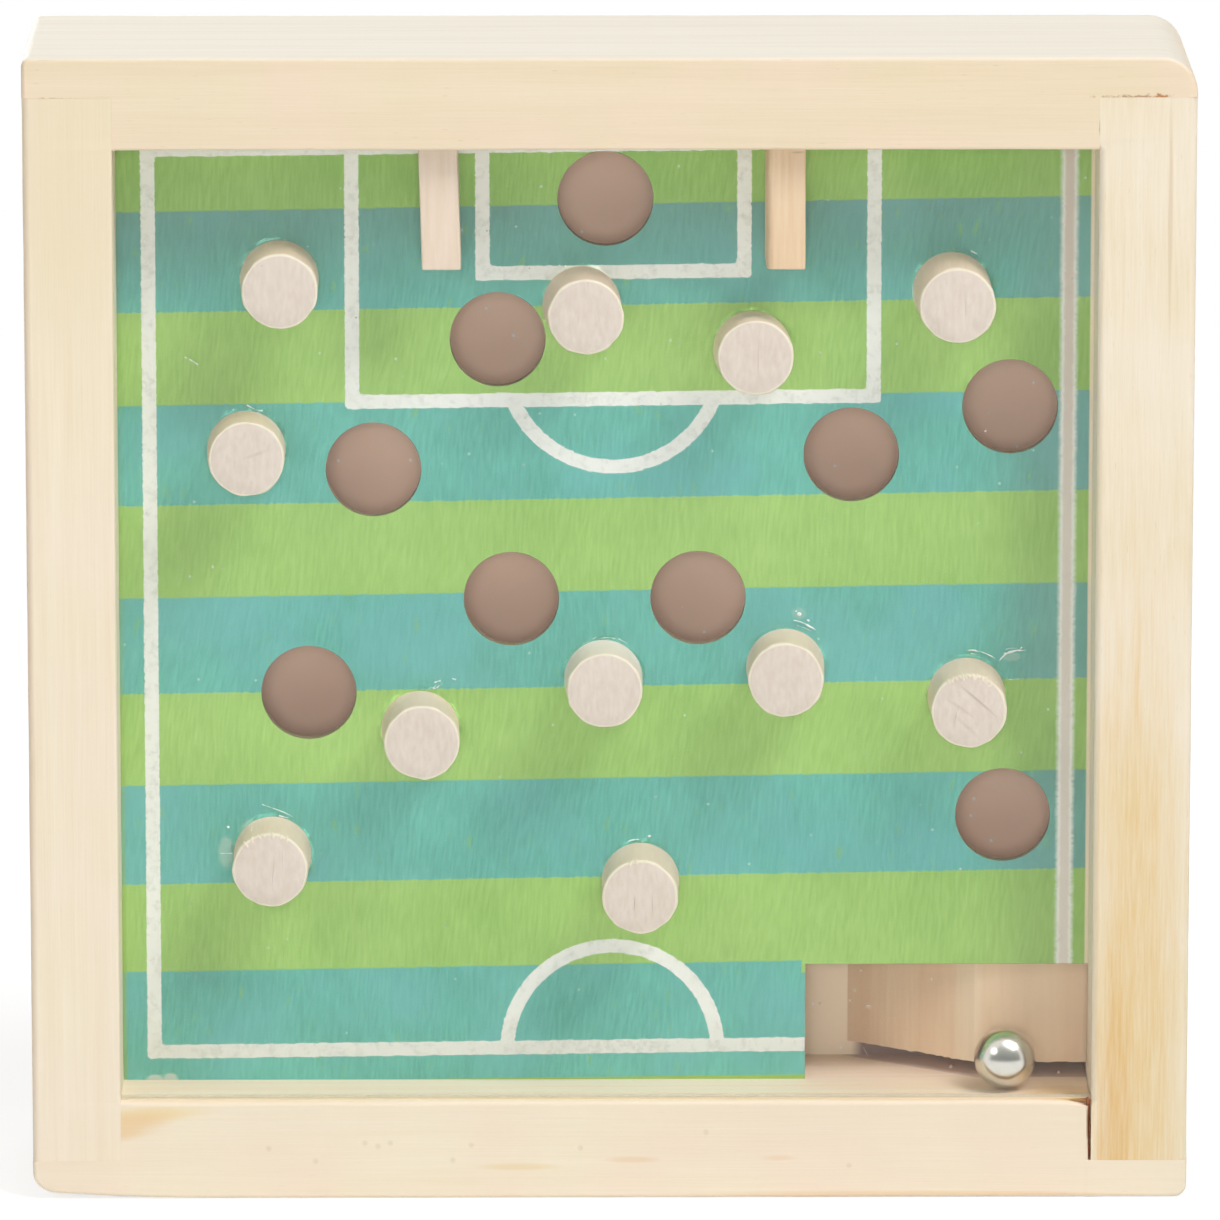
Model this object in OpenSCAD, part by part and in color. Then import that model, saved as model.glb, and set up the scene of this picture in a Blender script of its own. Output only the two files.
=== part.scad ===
// Tilting ball puzzle in a wooden case: a printed pitch with holes and pegs behind a clear cover.
// Millimetres. X to the right, Y from the front to the back, Z up.
// The origin is at the middle of the case's footprint, on the surface that it stands on.

/* [Case] */
// Width of the case over its stiles
case_w = 150; // [140:1:180]
// Height of the case over its rails
case_h = 150; // [140:1:180]
// Depth of the case from front to back
case_d = 36; // [33:0.5:46]
// Thickness of the top rail
top_rail_t = 12; // [10:0.5:16]
// Thickness of the bottom rail
bottom_rail_t = 13; // [10:0.5:16]
// Width of the left stile
left_stile_w = 11.5; // [9:0.5:15]
// Width of the right stile
right_stile_w = 12.5; // [9:0.5:15]

/* [Corner joints] */
// Thickness of the lap that the top rail leaves over each stile
top_lap_t = 5.2; // [4:0.1:6]
// Thickness of the lap that the bottom rail leaves under each stile
bottom_lap_t = 5; // [4:0.1:6]
// Radius of the top left corner of the case
top_left_r = 1.2; // [0.6:0.1:3.5]
// Radius of the top right corner of the case
top_right_r = 3; // [0.6:0.1:3.5]
// Radius of the bottom left corner of the case
bottom_left_r = 3; // [0.6:0.1:3.5]
// Radius of the bottom right corner of the case
bottom_right_r = 1.6; // [0.6:0.1:3.5]
// Radius of the long outer edges of rails and stiles
outer_edge_r = 1; // [0.3:0.1:2]
// Radius of the front inner edge of the rails and of the left stile
inner_edge_r = 0.4; // [0.2:0.1:0.9]
// Radius of the front inner edge of the right stile, which is sanded more
worn_edge_r = 0.9; // [0.2:0.1:1]

/* [Sheets] */
// Lip of the case in front of the clear cover
lip_t = 1.2; // [1:0.1:3]
// Thickness of the clear cover
cover_t = 1; // [0.8:0.1:2]
// Depth of the play space, from the cover to the board
play_depth = 9.5; // [9:0.1:12]
// Thickness of the printed board
board_t = 1.5; // [1.2:0.1:3]
// Depth of the return space, from the board to the back panel
return_depth = 11.8; // [9:0.1:13]
// Thickness of the back panel
panel_t = 3; // [2:0.1:4]
// Depth of the grooves in rails and stiles
groove_depth = 3; // [2:0.1:4]
// Gap on each side of a sheet in its groove
groove_side_gap = 0.1; // [0.05:0.05:0.2]
// Gap between a sheet's edge and the floor of its groove
groove_end_gap = 0.3; // [0.1:0.1:0.6]

/* [Board] */
// Diameter of the trap holes
hole_d = 12.3; // [9:0.1:13]
// Width of the return notch, from the right stile
notch_w = 36.9; // [33:0.1:45]
// Height of the return notch above the bottom rail
notch_h = 15.4; // [11:0.1:16]

/* [Pegs and goal] */
// Diameter of the pegs
peg_d = 9.9; // [7:0.1:10.5]
// Chamfer round the tip of a peg
peg_chamfer = 0.35; // [0.1:0.05:1]
// Gap between the cover and the tips of pegs and goal posts
tip_gap = 0.3; // [0.1:0.1:0.8]
// Width of a goal post
post_w = 5.1; // [3:0.1:7]
// Length of a goal post below the top rail
post_len = 16; // [8:0.5:18]
// Clear width of the goal between its posts
goal_gap = 39; // [30:0.5:42]
// Sideways lean of the left post over its length
left_post_lean = 0.45; // [0:0.05:1]

/* [Return block] */
// Width of the return block along the back panel
block_back_w = 31; // [26:0.5:34]
// Width of the return block along the board
block_front_w = 14.6; // [8:0.1:20]
// Gap between the return block and the bottom rail
block_gap = 1.8; // [0.5:0.1:2.5]
// Height of the block's top above the bottom rail at its left end
block_low_h = 17; // [15:0.5:20]
// Height of the block's top above the bottom rail at the right stile
block_high_h = 24.5; // [21:0.5:27]

/* [Ball] */
// Diameter of the ball
ball_d = 8; // [6:0.1:8.5]
// Distance of the ball's centre from the right stile at rest
ball_from_right = 11; // [6:0.5:100]
// Gap between the ball and what it rolls on and leans on
ball_gap = 0.1; // [0.05:0.05:0.2]

/* [Hidden] */
$fn = 96;

// How far a cutting shape runs past the face that it cuts
over = 1;

// Inner faces of the case
left_x = -case_w / 2 + left_stile_w;
right_x = case_w / 2 - right_stile_w;
floor_z = bottom_rail_t;
ceiling_z = case_h - top_rail_t;
inner_w = right_x - left_x;
inner_h = ceiling_z - floor_z;

// Stations from the front of the case to its back
front_y = -case_d / 2;
back_y = case_d / 2;
cover_y = front_y + lip_t + groove_side_gap;
play_y = cover_y + cover_t;
board_y = play_y + play_depth;
return_y = board_y + board_t;
panel_y = return_y + return_depth;

// How far a sheet reaches into its groove
sheet_reach = groove_depth - groove_end_gap;

// Pegs and posts fill the play space but for the gap at their tips
standing_len = play_depth - tip_gap;

// The pitch on which the places below are measured, from its left edge and its foot
layout_w = 126;
layout_h = 125;
hole_places = [
    [63, 116.8],
    [49.1, 98.4],
    [33, 81.3],
    [94.8, 83.2],
    [115.3, 89.5],
    [50.8, 64.2],
    [75, 64.3],
    [24.5, 51.8],
    [114.7, 35.4]
];
peg_places = [
    [21.1, 106.3],
    [16.7, 84.2],
    [60.2, 102.9],
    [82.1, 97.3],
    [107.9, 104.5],
    [39.1, 47],
    [62.8, 53.8],
    [86.3, 55.2],
    [109.9, 51.2],
    [19.6, 30.2],
    [67.5, 26.6]
];
goal_middle = 64;

// Colours of the woods, the print, the cover and the ball
pine = [0.94, 0.87, 0.76];
warm_pine = [0.92, 0.82, 0.64];
print_green = [0.62, 0.79, 0.46];
hardboard = [0.7, 0.57, 0.48];
beech = [0.9, 0.75, 0.64];
clear = [0.85, 0.92, 0.95, 0.35];
steel = [0.8, 0.8, 0.78];

function pitch_x(u) = left_x + u * inner_w / layout_w;
function pitch_z(v) = floor_z + v * inner_h / layout_h;

// Waste outside a rounded corner at the origin, where the wood lies towards +x and +y
module corner_waste(r) {
    difference() {
        translate([-over, -over]) square(r + over);
        translate([r, r]) circle(r = r);
    }
}

// Waste at a corner of a section: at is the corner, and inward points from it into the wood
module section_waste(at, inward, r) {
    translate(at) scale_signs(inward) corner_waste(r);
}

// Mirrors its child so that +x and +y point along the two signs given
module scale_signs(signs) {
    mirror([signs[0] < 0 ? 1 : 0, 0]) mirror([0, signs[1] < 0 ? 1 : 0]) children();
}

// Places where a sheet of thickness t, whose front is at y, sits in a groove: the groove's section
// is drawn in a plane with y across and depth up from the inner face at zero
module groove_section(y, t) {
    translate([y - groove_side_gap, -over]) square([t + 2 * groove_side_gap, groove_depth + over]);
}

// Section of a bar with its inner face at zero and its outer face at thickness t
module bar_section(t, front_inner_r, with_board_groove) {
    difference() {
        translate([front_y, 0]) square([case_d, t]);
        section_waste([front_y, t], [1, -1], outer_edge_r);
        section_waste([back_y, t], [-1, -1], outer_edge_r);
        section_waste([front_y, 0], [1, 1], front_inner_r);
        groove_section(cover_y, cover_t);
        groove_section(panel_y, panel_t);
        if (with_board_groove) groove_section(board_y, board_t);
    }
}

// Bar that lies along X from -case_w / 2 to case_w / 2, with its inner face at zero, outer side up
module lying_bar(t, with_board_groove) {
    translate([-case_w / 2, 0, 0])
        rotate([90, 0, 90])
            linear_extrude(case_w) bar_section(t, inner_edge_r, with_board_groove);
}

// Rail with both ends cut back to a lap of lap_t, which covers the end of a stile
module lapped_rail(t, lap_t, with_board_groove, left_r, right_r) {
    difference() {
        lying_bar(t, with_board_groove);
        translate([-case_w / 2 - over, front_y - over, -over])
            cube([left_stile_w + over, case_d + 2 * over, t - lap_t + over]);
        translate([right_x, front_y - over, -over])
            cube([right_stile_w + over, case_d + 2 * over, t - lap_t + over]);
        outer_corner_cut([-case_w / 2, t], [1, -1], left_r);
        outer_corner_cut([case_w / 2, t], [-1, -1], right_r);
    }
}

// Rounds one end of a rail, seen from the front
module outer_corner_cut(at, inward, r) {
    translate([0, back_y + over, 0])
        rotate([90, 0, 0])
            linear_extrude(case_d + 2 * over) section_waste(at, inward, r);
}

module top_rail() {
    color(pine)
        translate([0, 0, ceiling_z])
            lapped_rail(top_rail_t, top_lap_t, true, top_left_r, top_right_r);
}

// The board's foot rests on this rail, so it has no groove for the board
module bottom_rail() {
    color(pine)
        translate([0, 0, floor_z])
            mirror([0, 0, 1])
                lapped_rail(bottom_rail_t, bottom_lap_t, false, bottom_left_r, bottom_right_r);
}

// Stile with square ends between the laps, with its inner face at zero and its outer side towards +X
module standing_bar(w, front_inner_r) {
    translate([0, 0, bottom_lap_t])
        linear_extrude(case_h - bottom_lap_t - top_lap_t)
            mirror([1, -1])
                bar_section(w, front_inner_r, true);
}

module left_stile() {
    color(pine)
        translate([left_x, 0, 0])
            mirror([1, 0, 0])
                standing_bar(left_stile_w, inner_edge_r);
}

module right_stile() {
    color(warm_pine)
        translate([right_x, 0, 0])
            standing_bar(right_stile_w, worn_edge_r);
}

// Sheet that reaches into the grooves of both stiles and of the top rail, with its foot at foot_z
module sheet(y, t, foot_z) {
    translate([left_x - sheet_reach, y, foot_z])
        cube([inner_w + 2 * sheet_reach, t, ceiling_z + sheet_reach - foot_z]);
}

module clear_cover() {
    color(clear) sheet(cover_y, cover_t, floor_z - sheet_reach);
}

module back_panel() {
    color(hardboard) sheet(panel_y, panel_t, floor_z - sheet_reach);
}

module trap_hole(place) {
    translate([pitch_x(place[0]), board_y - over, pitch_z(place[1])])
        rotate([-90, 0, 0])
            cylinder(d = hole_d, h = board_t + 2 * over);
}

module playing_board() {
    color(print_green)
        difference() {
            sheet(board_y, board_t, floor_z);
            for (place = hole_places) trap_hole(place);
            translate([right_x - notch_w, board_y - over, floor_z - over])
                cube([notch_w + groove_depth + over, board_t + 2 * over, notch_h + over]);
        }
}

// Dowel glued to the board, with its tip chamfered towards the cover
module peg(place) {
    color(beech)
        translate([pitch_x(place[0]), board_y, pitch_z(place[1])])
            rotate([90, 0, 0])
                rotate_extrude()
                    polygon([
                        [0, 0],
                        [peg_d / 2, 0],
                        [peg_d / 2, standing_len - peg_chamfer],
                        [peg_d / 2 - peg_chamfer, standing_len],
                        [0, standing_len]
                    ]);
}

// Strip that hangs from the top rail: inner_side is 1 where the goal lies to the right of it
module goal_post(inner_side, lean) {
    goal_face = pitch_x(goal_middle) - inner_side * goal_gap / 2;
    outer_face = goal_face - inner_side * post_w;
    color(beech)
        translate([0, board_y, 0])
            rotate([90, 0, 0])
                linear_extrude(standing_len)
                    polygon([
                        [outer_face - lean, ceiling_z],
                        [goal_face - lean, ceiling_z],
                        [goal_face, ceiling_z - post_len],
                        [outer_face, ceiling_z - post_len]
                    ]);
}

// Block behind the notch: its slanting side steers the ball forward, and its top sheds it to the left
module return_block() {
    color(beech)
        intersection() {
            translate([0, 0, floor_z])
                linear_extrude(block_high_h)
                    polygon([
                        [right_x - block_back_w, panel_y],
                        [right_x, panel_y],
                        [right_x, return_y],
                        [right_x - block_front_w, return_y]
                    ]);
            translate([0, panel_y + over, floor_z])
                rotate([90, 0, 0])
                    linear_extrude(return_depth + 2 * over)
                        polygon([
                            [right_x - block_back_w, block_gap],
                            [right_x, block_gap],
                            [right_x, block_high_h],
                            [right_x - block_back_w, block_low_h]
                        ]);
        }
}

module ball() {
    color(steel)
        translate([
            right_x - ball_from_right,
            play_y + ball_gap + ball_d / 2,
            floor_z + ball_gap + ball_d / 2
        ])
            sphere(d = ball_d);
}

top_rail();
bottom_rail();
left_stile();
right_stile();
clear_cover();
playing_board();
back_panel();
return_block();
goal_post(1, left_post_lean);  // goal_post_left
goal_post(-1, 0);  // goal_post_right
peg(peg_places[0]);  // peg_1
peg(peg_places[1]);  // peg_2
peg(peg_places[2]);  // peg_3
peg(peg_places[3]);  // peg_4
peg(peg_places[4]);  // peg_5
peg(peg_places[5]);  // peg_6
peg(peg_places[6]);  // peg_7
peg(peg_places[7]);  // peg_8
peg(peg_places[8]);  // peg_9
peg(peg_places[9]);  // peg_10
peg(peg_places[10]);  // peg_11
ball();
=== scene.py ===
# Tilting ball puzzle in a pine case: looks, floor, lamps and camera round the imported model
import math
import random
from functools import partial

import bpy
from mathutils import Matrix, Vector


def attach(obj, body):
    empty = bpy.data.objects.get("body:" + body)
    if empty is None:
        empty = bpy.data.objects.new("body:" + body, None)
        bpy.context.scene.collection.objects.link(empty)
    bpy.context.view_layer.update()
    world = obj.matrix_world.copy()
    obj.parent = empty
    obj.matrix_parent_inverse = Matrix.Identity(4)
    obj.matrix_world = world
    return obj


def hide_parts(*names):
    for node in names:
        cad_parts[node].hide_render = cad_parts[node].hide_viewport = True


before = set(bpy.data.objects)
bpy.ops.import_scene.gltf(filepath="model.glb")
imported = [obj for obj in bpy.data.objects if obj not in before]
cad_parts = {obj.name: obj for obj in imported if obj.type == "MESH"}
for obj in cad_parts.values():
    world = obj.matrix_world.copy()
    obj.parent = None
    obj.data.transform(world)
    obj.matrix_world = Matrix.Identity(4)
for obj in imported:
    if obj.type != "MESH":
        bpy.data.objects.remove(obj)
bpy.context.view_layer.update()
mm = 0.001
random.seed(11)

# Stations of the case in millimetres, as the frame has them
case = {
    "left": -75.0, "right": 75.0, "front": -18.0, "back": 18.0,
    "windowLeft": -63.5, "windowRight": 62.5, "windowFoot": 13.0, "windowTop": 138.0,
    "topLap": 144.8, "bottomLap": 5.0,
    "cover": (-16.7, -15.7), "board": (-6.2, -4.7), "panel": (7.1, 10.1),
    "grooveDepth": 3.0, "grooveGap": {"cover": 0.02, "board": 0.1, "panel": 0.1},
}


# Small helpers for modelling

def clearSelection():
    if bpy.context.object and bpy.context.object.mode != "OBJECT":
        bpy.ops.object.mode_set(mode="OBJECT")
    bpy.ops.object.select_all(action="DESELECT")


def makeActive(piece):
    clearSelection()
    piece.select_set(True)
    bpy.context.view_layer.objects.active = piece


def settle(piece, name):
    # names the piece and puts its place into its mesh
    piece.name = piece.data.name = name
    bpy.ops.object.transform_apply(location=True, rotation=True, scale=True)
    return piece


def place(operator, name, at, **settings):
    # adds a primitive at a place in millimetres
    clearSelection()
    operator(location=[v * mm for v in at], **settings)
    return settle(bpy.context.object, name)


def addBlock(name, low, high):
    middle = [(a + b) / 2 for a, b in zip(low, high)]
    size = [(b - a) * mm for a, b in zip(low, high)]
    return place(bpy.ops.mesh.primitive_cube_add, name, middle, size=1, scale=size)


def startPicking(piece, kind):
    # kind is VERT, EDGE or FACE; nothing stays selected
    makeActive(piece)
    bpy.context.tool_settings.mesh_select_mode = [kind == k for k in ("VERT", "EDGE", "FACE")]
    for part in (piece.data.vertices, piece.data.edges, piece.data.polygons):
        for item in part:
            item.select = False


def pickFaces(piece, test):
    # test gets a face's centre in millimetres and its normal
    startPicking(piece, "FACE")
    for face in piece.data.polygons:
        face.select = bool(test(face.center / mm, face.normal))
    bpy.ops.object.mode_set(mode="EDIT")


def pickEdges(piece, test):
    # test gets both ends of an edge in millimetres
    startPicking(piece, "EDGE")
    points = [v.co / mm for v in piece.data.vertices]
    for edge in piece.data.edges:
        edge.select = bool(test(points[edge.vertices[0]], points[edge.vertices[1]]))
    bpy.ops.object.mode_set(mode="EDIT")


def roundEdges(piece, test, radius, segments=4):
    pickEdges(piece, test)
    bpy.ops.mesh.bevel(offset=radius * mm, segments=segments, affect="EDGES", clamp_overlap=False)
    bpy.ops.object.mode_set(mode="OBJECT")


def cutAcross(piece, axis, places):
    # the cuts give the wear its points; axis is 0 for X, 1 for Y and 2 for Z
    makeActive(piece)
    bpy.ops.object.mode_set(mode="EDIT")
    for cut in places:
        at, along = [0, 0, 0], [0, 0, 0]
        at[axis], along[axis] = cut * mm, 1
        bpy.ops.mesh.select_all(action="SELECT")
        bpy.ops.mesh.bisect(plane_co=at, plane_no=along)
    bpy.ops.object.mode_set(mode="OBJECT")


def applyModifier(piece, kind, **settings):
    makeActive(piece)
    modifier = piece.modifiers.new("shape", kind)
    for key, value in settings.items():
        setattr(modifier, key, value)
    bpy.ops.object.modifier_apply(modifier=modifier.name)


def carve(piece, cutter):
    applyModifier(piece, "BOOLEAN", operation="DIFFERENCE", solver="EXACT", object=cutter)
    bpy.data.objects.remove(cutter)


def weather(piece, depth, size, keep=None):
    # sinks the surface unevenly by up to depth, so that edges aren't machine straight; keep names places that stay
    makeActive(piece)
    group = piece.vertex_groups.new(name="worn")
    worn = [v.index for v in piece.data.vertices if not (keep and keep(v.co / mm))]
    group.add(worn, 1.0, "REPLACE")
    cloud = bpy.data.textures.new("handSanded", "CLOUDS")
    cloud.noise_scale = size * mm
    cloud.noise_depth = 1
    applyModifier(piece, "DISPLACE", texture=cloud, texture_coords="LOCAL", strength=depth * mm, mid_level=1.0,
                  vertex_group="worn")
    piece.vertex_groups.clear()
    bpy.data.textures.remove(cloud)


def smooth(piece, angle=35):
    makeActive(piece)
    bpy.ops.object.shade_smooth_by_angle(angle=math.radians(angle))
    applyModifier(piece, "WEIGHTED_NORMAL", keep_sharp=True, weight=50)


def joinAll(pieces, name):
    clearSelection()
    for piece in pieces:
        piece.select_set(True)
    bpy.context.view_layer.objects.active = pieces[0]
    bpy.ops.object.join()
    joined = bpy.context.object
    joined.name = joined.data.name = name
    return joined


def near(a, b, gap=0.02):
    return abs(a - b) < gap


def bothAt(a, b, **places):
    # whether both ends of an edge lie at the places given, such as x=-75
    return all(near(getattr(end, axis), at) for axis, at in places.items() for end in (a, b))


def onFrontOrBack(a, b):
    return near(abs(a.y), case["back"]) and near(a.y, b.y)


def besideCover(at):
    return any(near(at.y, side, 0.1) for side in case["cover"])


def finishPiece(piece, body, slot, materials, *nodes):
    for material in materials:
        piece.data.materials.append(material)
    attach(piece, body)
    if nodes:
        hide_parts(*nodes)


# Small helpers for materials

def fromHex(text):
    # a written sRGB colour as Blender's linear one
    parts = [int(text[i:i + 2], 16) / 255 for i in (1, 3, 5)]
    return [c / 12.92 if c <= 0.04045 else ((c + 0.055) / 1.055) ** 2.4 for c in parts] + [1]


def setInputs(node, values):
    # what another node gives is linked, and the rest is written down
    for socket, value in values.items():
        if isinstance(value, bpy.types.NodeSocket):
            node.id_data.links.new(value, node.inputs[socket])
        else:
            node.inputs[socket].default_value = value


def addNode(tree, kind, values=None, out=0, **settings):
    made = tree.nodes.new("ShaderNode" + kind)
    for key, value in settings.items():
        setattr(made, key, value)
    setInputs(made, values or {})
    return made.outputs[out]


inColour = {"out": 2, "data_type": "RGBA"}  # a Mix of colours: 0 is the share, 6 and 7 the two colours
eased = {"interpolation_type": "SMOOTHSTEP"}  # a MapRange that starts and ends gently


def startMaterial(name):
    # gives the material, what adds nodes to it, its shader and the point on the piece in millimetres
    material = bpy.data.materials.new(name)
    material.use_nodes = True
    add = partial(addNode, material.node_tree)
    point = add("TexCoord", out="Object")
    point = add("VectorMath", {0: point, "Scale": 1000.0}, operation="SCALE")
    return material, add, material.node_tree.nodes["Principled BSDF"], point


def setStops(ramp, stops, interpolation="LINEAR"):
    # stops are (place from 0 to 1, linear colour)
    ramp = ramp.node.color_ramp
    ramp.interpolation = interpolation
    while len(ramp.elements) < len(stops):
        ramp.elements.new(0.5)
    for element, (at, colour) in zip(ramp.elements, stops):
        element.position = at
        element.color = colour


def drawGrain(add, point, scale, low, high, detail=3.0, rough=0.6, shift=(0, 0, 0), top=1.0):
    # noise stretched along the wood, with all its contrast between low and high
    at = add("Mapping", {"Vector": point, "Scale": scale, "Location": shift})
    noise = add("TexNoise", {"Vector": at, "Scale": 1.0, "Detail": detail, "Roughness": rough})
    return add("MapRange", {"Value": noise, "From Min": low, "From Max": high, "To Max": top})


def farFrom(add, point, middle, size, turn=0):
    # how far the point lies from a spot's middle, counted in the spot's half sizes
    at = add("VectorMath", {0: point, 1: middle}, operation="SUBTRACT")
    if turn:
        at = add("Mapping", {"Vector": at, "Rotation": (0, math.radians(turn), 0)})
    at = add("VectorMath", {0: at, 1: size}, operation="DIVIDE")
    return add("VectorMath", {0: at}, out="Value", operation="LENGTH")


def seenPlain(add):
    # 1 where the camera, a reflection or a look through the clear sheet meets the surface
    path = add("LightPath").node.outputs
    seen = add("Math", {0: path["Is Camera Ray"], 1: path["Is Glossy Ray"]}, operation="MAXIMUM")
    return add("Math", {0: seen, 1: path["Is Transmission Ray"]}, operation="MAXIMUM")


def addUp(add, *parts, start=0.0):
    # the sum of patterns, each taken by its weight
    total = start
    for pattern, weight in parts:
        total = add("Math", {0: pattern, 1: weight, 2: total}, operation="MULTIPLY_ADD")
    return total


def outsideOf(add, value, low, high):
    # how far the value lies past the nearer of low and high; it is below zero between them
    value = add("Math", {0: value, 1: (low + high) / 2}, operation="SUBTRACT")
    value = add("Math", {0: value}, operation="ABSOLUTE")
    return add("Math", {0: value, 1: (high - low) / 2}, operation="SUBTRACT")


# Materials

pineTints = {
    "tick": "#c2a070", "dent": "#c9a983", "end": ("#ead2a6", "#dcbb88"), "endRing": "#cda56c", "shadeUnderBlock": "#d0aca0",
}


def makePine(name, look):
    # sanded bare pine: pale cream, soft blotches, fine fibres along the bar and a few short resin ticks
    material, add, shader, point = startMaterial(name)

    def stretch(along, across):
        return [1 / along, 1 / across, 1 / across] if look["grain"] == "X" else [1 / across, 1 / across, 1 / along]

    # fibres are a third of a millimetre wide, drawn a little coarser than the real ones so that they show
    fibre = drawGrain(add, point, stretch(look["fibreLength"], 0.34), 0.3, 0.7, shift=look["shift"])
    streak = drawGrain(add, point, stretch(look["streakLength"], look["streakWidth"]), 0.34, 0.66)
    ringAt = add("Mapping", {"Vector": point, "Location": look["pith"]}, vector_type="POINT")
    # wave rings repeat each 0.314 units, so the scale is 0.314 over the ring spacing
    ring = add("TexWave", {"Vector": ringAt, "Scale": 0.314 / look["ringSpacing"], "Distortion": 1.6,
                           "Detail": 2.0, "Detail Scale": 0.35}, out="Fac",
               wave_type="RINGS", rings_direction=look["grain"], wave_profile="SAW")
    blotch = add("TexNoise", {"Vector": point, "Scale": 0.05, "Detail": 2.0})

    # weights of fibre, streak and ring between the light and the dark tone
    weights = look["fibre"] + look["streak"] + look["ring"]
    tone = addUp(add, (fibre, look["fibre"] / weights), (streak, look["streak"] / weights),
                 (ring, look["ring"] / weights))
    colour = add("Mix", {0: tone, 6: fromHex(look["light"]), 7: fromHex(look["dark"])}, **inColour)
    blotch = add("MapRange", {"Value": blotch, "From Min": 0.4, "From Max": 0.65, "To Max": 0.6})
    colour = add("Mix", {0: blotch, 6: colour, 7: fromHex(look["blush"])}, **inColour)

    tick = drawGrain(add, point, stretch(2.0, 0.2), 0.78, 0.88, 0.0, 0.5, look["shift"], look["ticks"])
    colour = add("Mix", {0: tick, 6: colour, 7: fromHex(pineTints["tick"])}, **inColour)

    dentHeight = None
    for dentX, dentZ in look.get("dents", ()):
        far = add("VectorMath", {0: point, 1: (dentX, case["front"], dentZ)}, out="Value", operation="DISTANCE")
        dentHeight = far if dentHeight is None else add("Math", {0: dentHeight, 1: far}, operation="MINIMUM")
    if dentHeight:
        # small dents of a third of a millimetre: a dark spot that sinks in
        dentHeight = add("MapRange", {"Value": dentHeight, "From Min": 0.15, "From Max": 0.5})
        spot = add("MapRange", {"Value": dentHeight, "To Min": 0.22, "To Max": 0.0})
        colour = add("Mix", {0: spot, 6: colour, 7: fromHex(pineTints["dent"])}, **inColour)

    # end grain where the bar was cut across
    normal = add("NewGeometry", out="Normal")
    split = add("SeparateXYZ", {0: normal}).node.outputs
    across = add("Math", {0: split[look["grain"]]}, operation="ABSOLUTE")
    across = add("MapRange", {"Value": across, "From Min": 0.85, "From Max": 0.98})
    pores = add("TexNoise", {"Vector": point, "Scale": 4.0, "Detail": 2.0})
    endColour = add("Mix", {0: pores, 6: fromHex(pineTints["end"][0]), 7: fromHex(pineTints["end"][1])}, **inColour)
    endRing = add("Math", {0: ring, 1: 0.45}, operation="MULTIPLY")
    endColour = add("Mix", {0: endRing, 6: endColour, 7: fromHex(pineTints["endRing"])}, **inColour)
    colour = add("Mix", {0: across, 6: colour, 7: endColour}, **inColour)
    if look.get("upFacePaintedLight"):
        # the rail's upward faces are quarter-sawn ones with close straight lines, in paler colours that are painted
        # light and sheen from above
        upward = add("MapRange", {"Value": split["Z"], "From Min": 0.35, "From Max": 0.95})
        line = drawGrain(add, point, stretch(60, 0.9), 0.36, 0.66, rough=0.55)
        pale = add("Mix", {0: line, 6: fromHex(look["upFacePaintedLight"][0]), 7: fromHex(look["upFacePaintedLight"][1])}, **inColour)
        colour = add("Mix", {0: upward, 6: colour, 7: pale}, **inColour)
    crumbly = add("TexNoise", {"Vector": point, "Scale": 1.3, "Detail": 3.0, "Roughness": 0.7})
    crumbly = add("MapRange", {"Value": crumbly, "From Min": 0.35, "From Max": 0.65})
    for patch in look["patches"]:
        # a warm, resinous or stained place, or a place of painted shade: its centre, its half sizes, its colour and
        # how ragged it is
        far = farFrom(add, point, patch["at"], patch["size"], patch.get("turn", 0))
        edge = crumbly if patch.get("crumbly") else streak
        far = addUp(add, (edge, patch.get("ragged", 0.4)), start=far)
        mask = add("MapRange", {"Value": far, "From Min": 1.25, "From Max": 0.45, "To Max": patch["strength"]},
                   **eased)
        if patch.get("fibres"):
            combed = add("MapRange", {"Value": fibre, "To Min": 0.45, "To Max": 1.0})
            mask = add("Math", {0: mask, 1: combed}, operation="MULTIPLY")
        colour = add("Mix", {0: mask, 6: colour, 7: fromHex(patch["colour"])}, **inColour)
    if look.get("underBlock"):
        # painted shade under the return block, up to the line of its slanting foot
        x0, y0, fall, y1 = look["underBlock"]
        here = add("SeparateXYZ", {0: point}).node.outputs
        slant = addUp(add, (here["X"], -fall), start=y0 + x0 * fall)
        slant = add("Math", {0: slant, 1: y1}, operation="MAXIMUM")
        behind = add("Math", {0: here["Y"], 1: slant}, operation="SUBTRACT")
        behind = addUp(add, (crumbly, 0.3), start=behind)
        behind = add("MapRange", {"Value": behind, "From Min": -0.9, "From Max": -0.3, "To Max": 0.6}, **eased)
        behind = add("Math", {0: behind, 1: upward}, operation="MULTIPLY")
        colour = add("Mix", {0: behind, 6: colour, 7: fromHex(pineTints["shadeUnderBlock"])}, **inColour)
    if look.get("paintedLightInnerFace"):
        # the stile's face towards the window is painted paler: painted light on a face that lies in shade
        inward = add("MapRange", {"Value": split["X"], "From Min": -0.5, "From Max": -0.95})
        pale = add("Mix", {0: streak, 6: fromHex(look["paintedLightInnerFace"][0]), 7: fromHex(look["paintedLightInnerFace"][1])}, **inColour)
        colour = add("Mix", {0: inward, 6: colour, 7: pale}, **inColour)
    rough = add("MapRange", {"Value": fibre, "To Min": 0.52, "To Max": 0.66})
    relief = addUp(add, (ring, 0.3), start=fibre)
    if dentHeight:
        relief = addUp(add, (dentHeight, 2.5), start=relief)
    bump = add("Bump", {"Height": relief, "Strength": 0.35, "Distance": 0.00004})
    setInputs(shader, {"Base Color": colour, "Roughness": rough, "Normal": bump, "IOR": 1.5})
    return material


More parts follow.
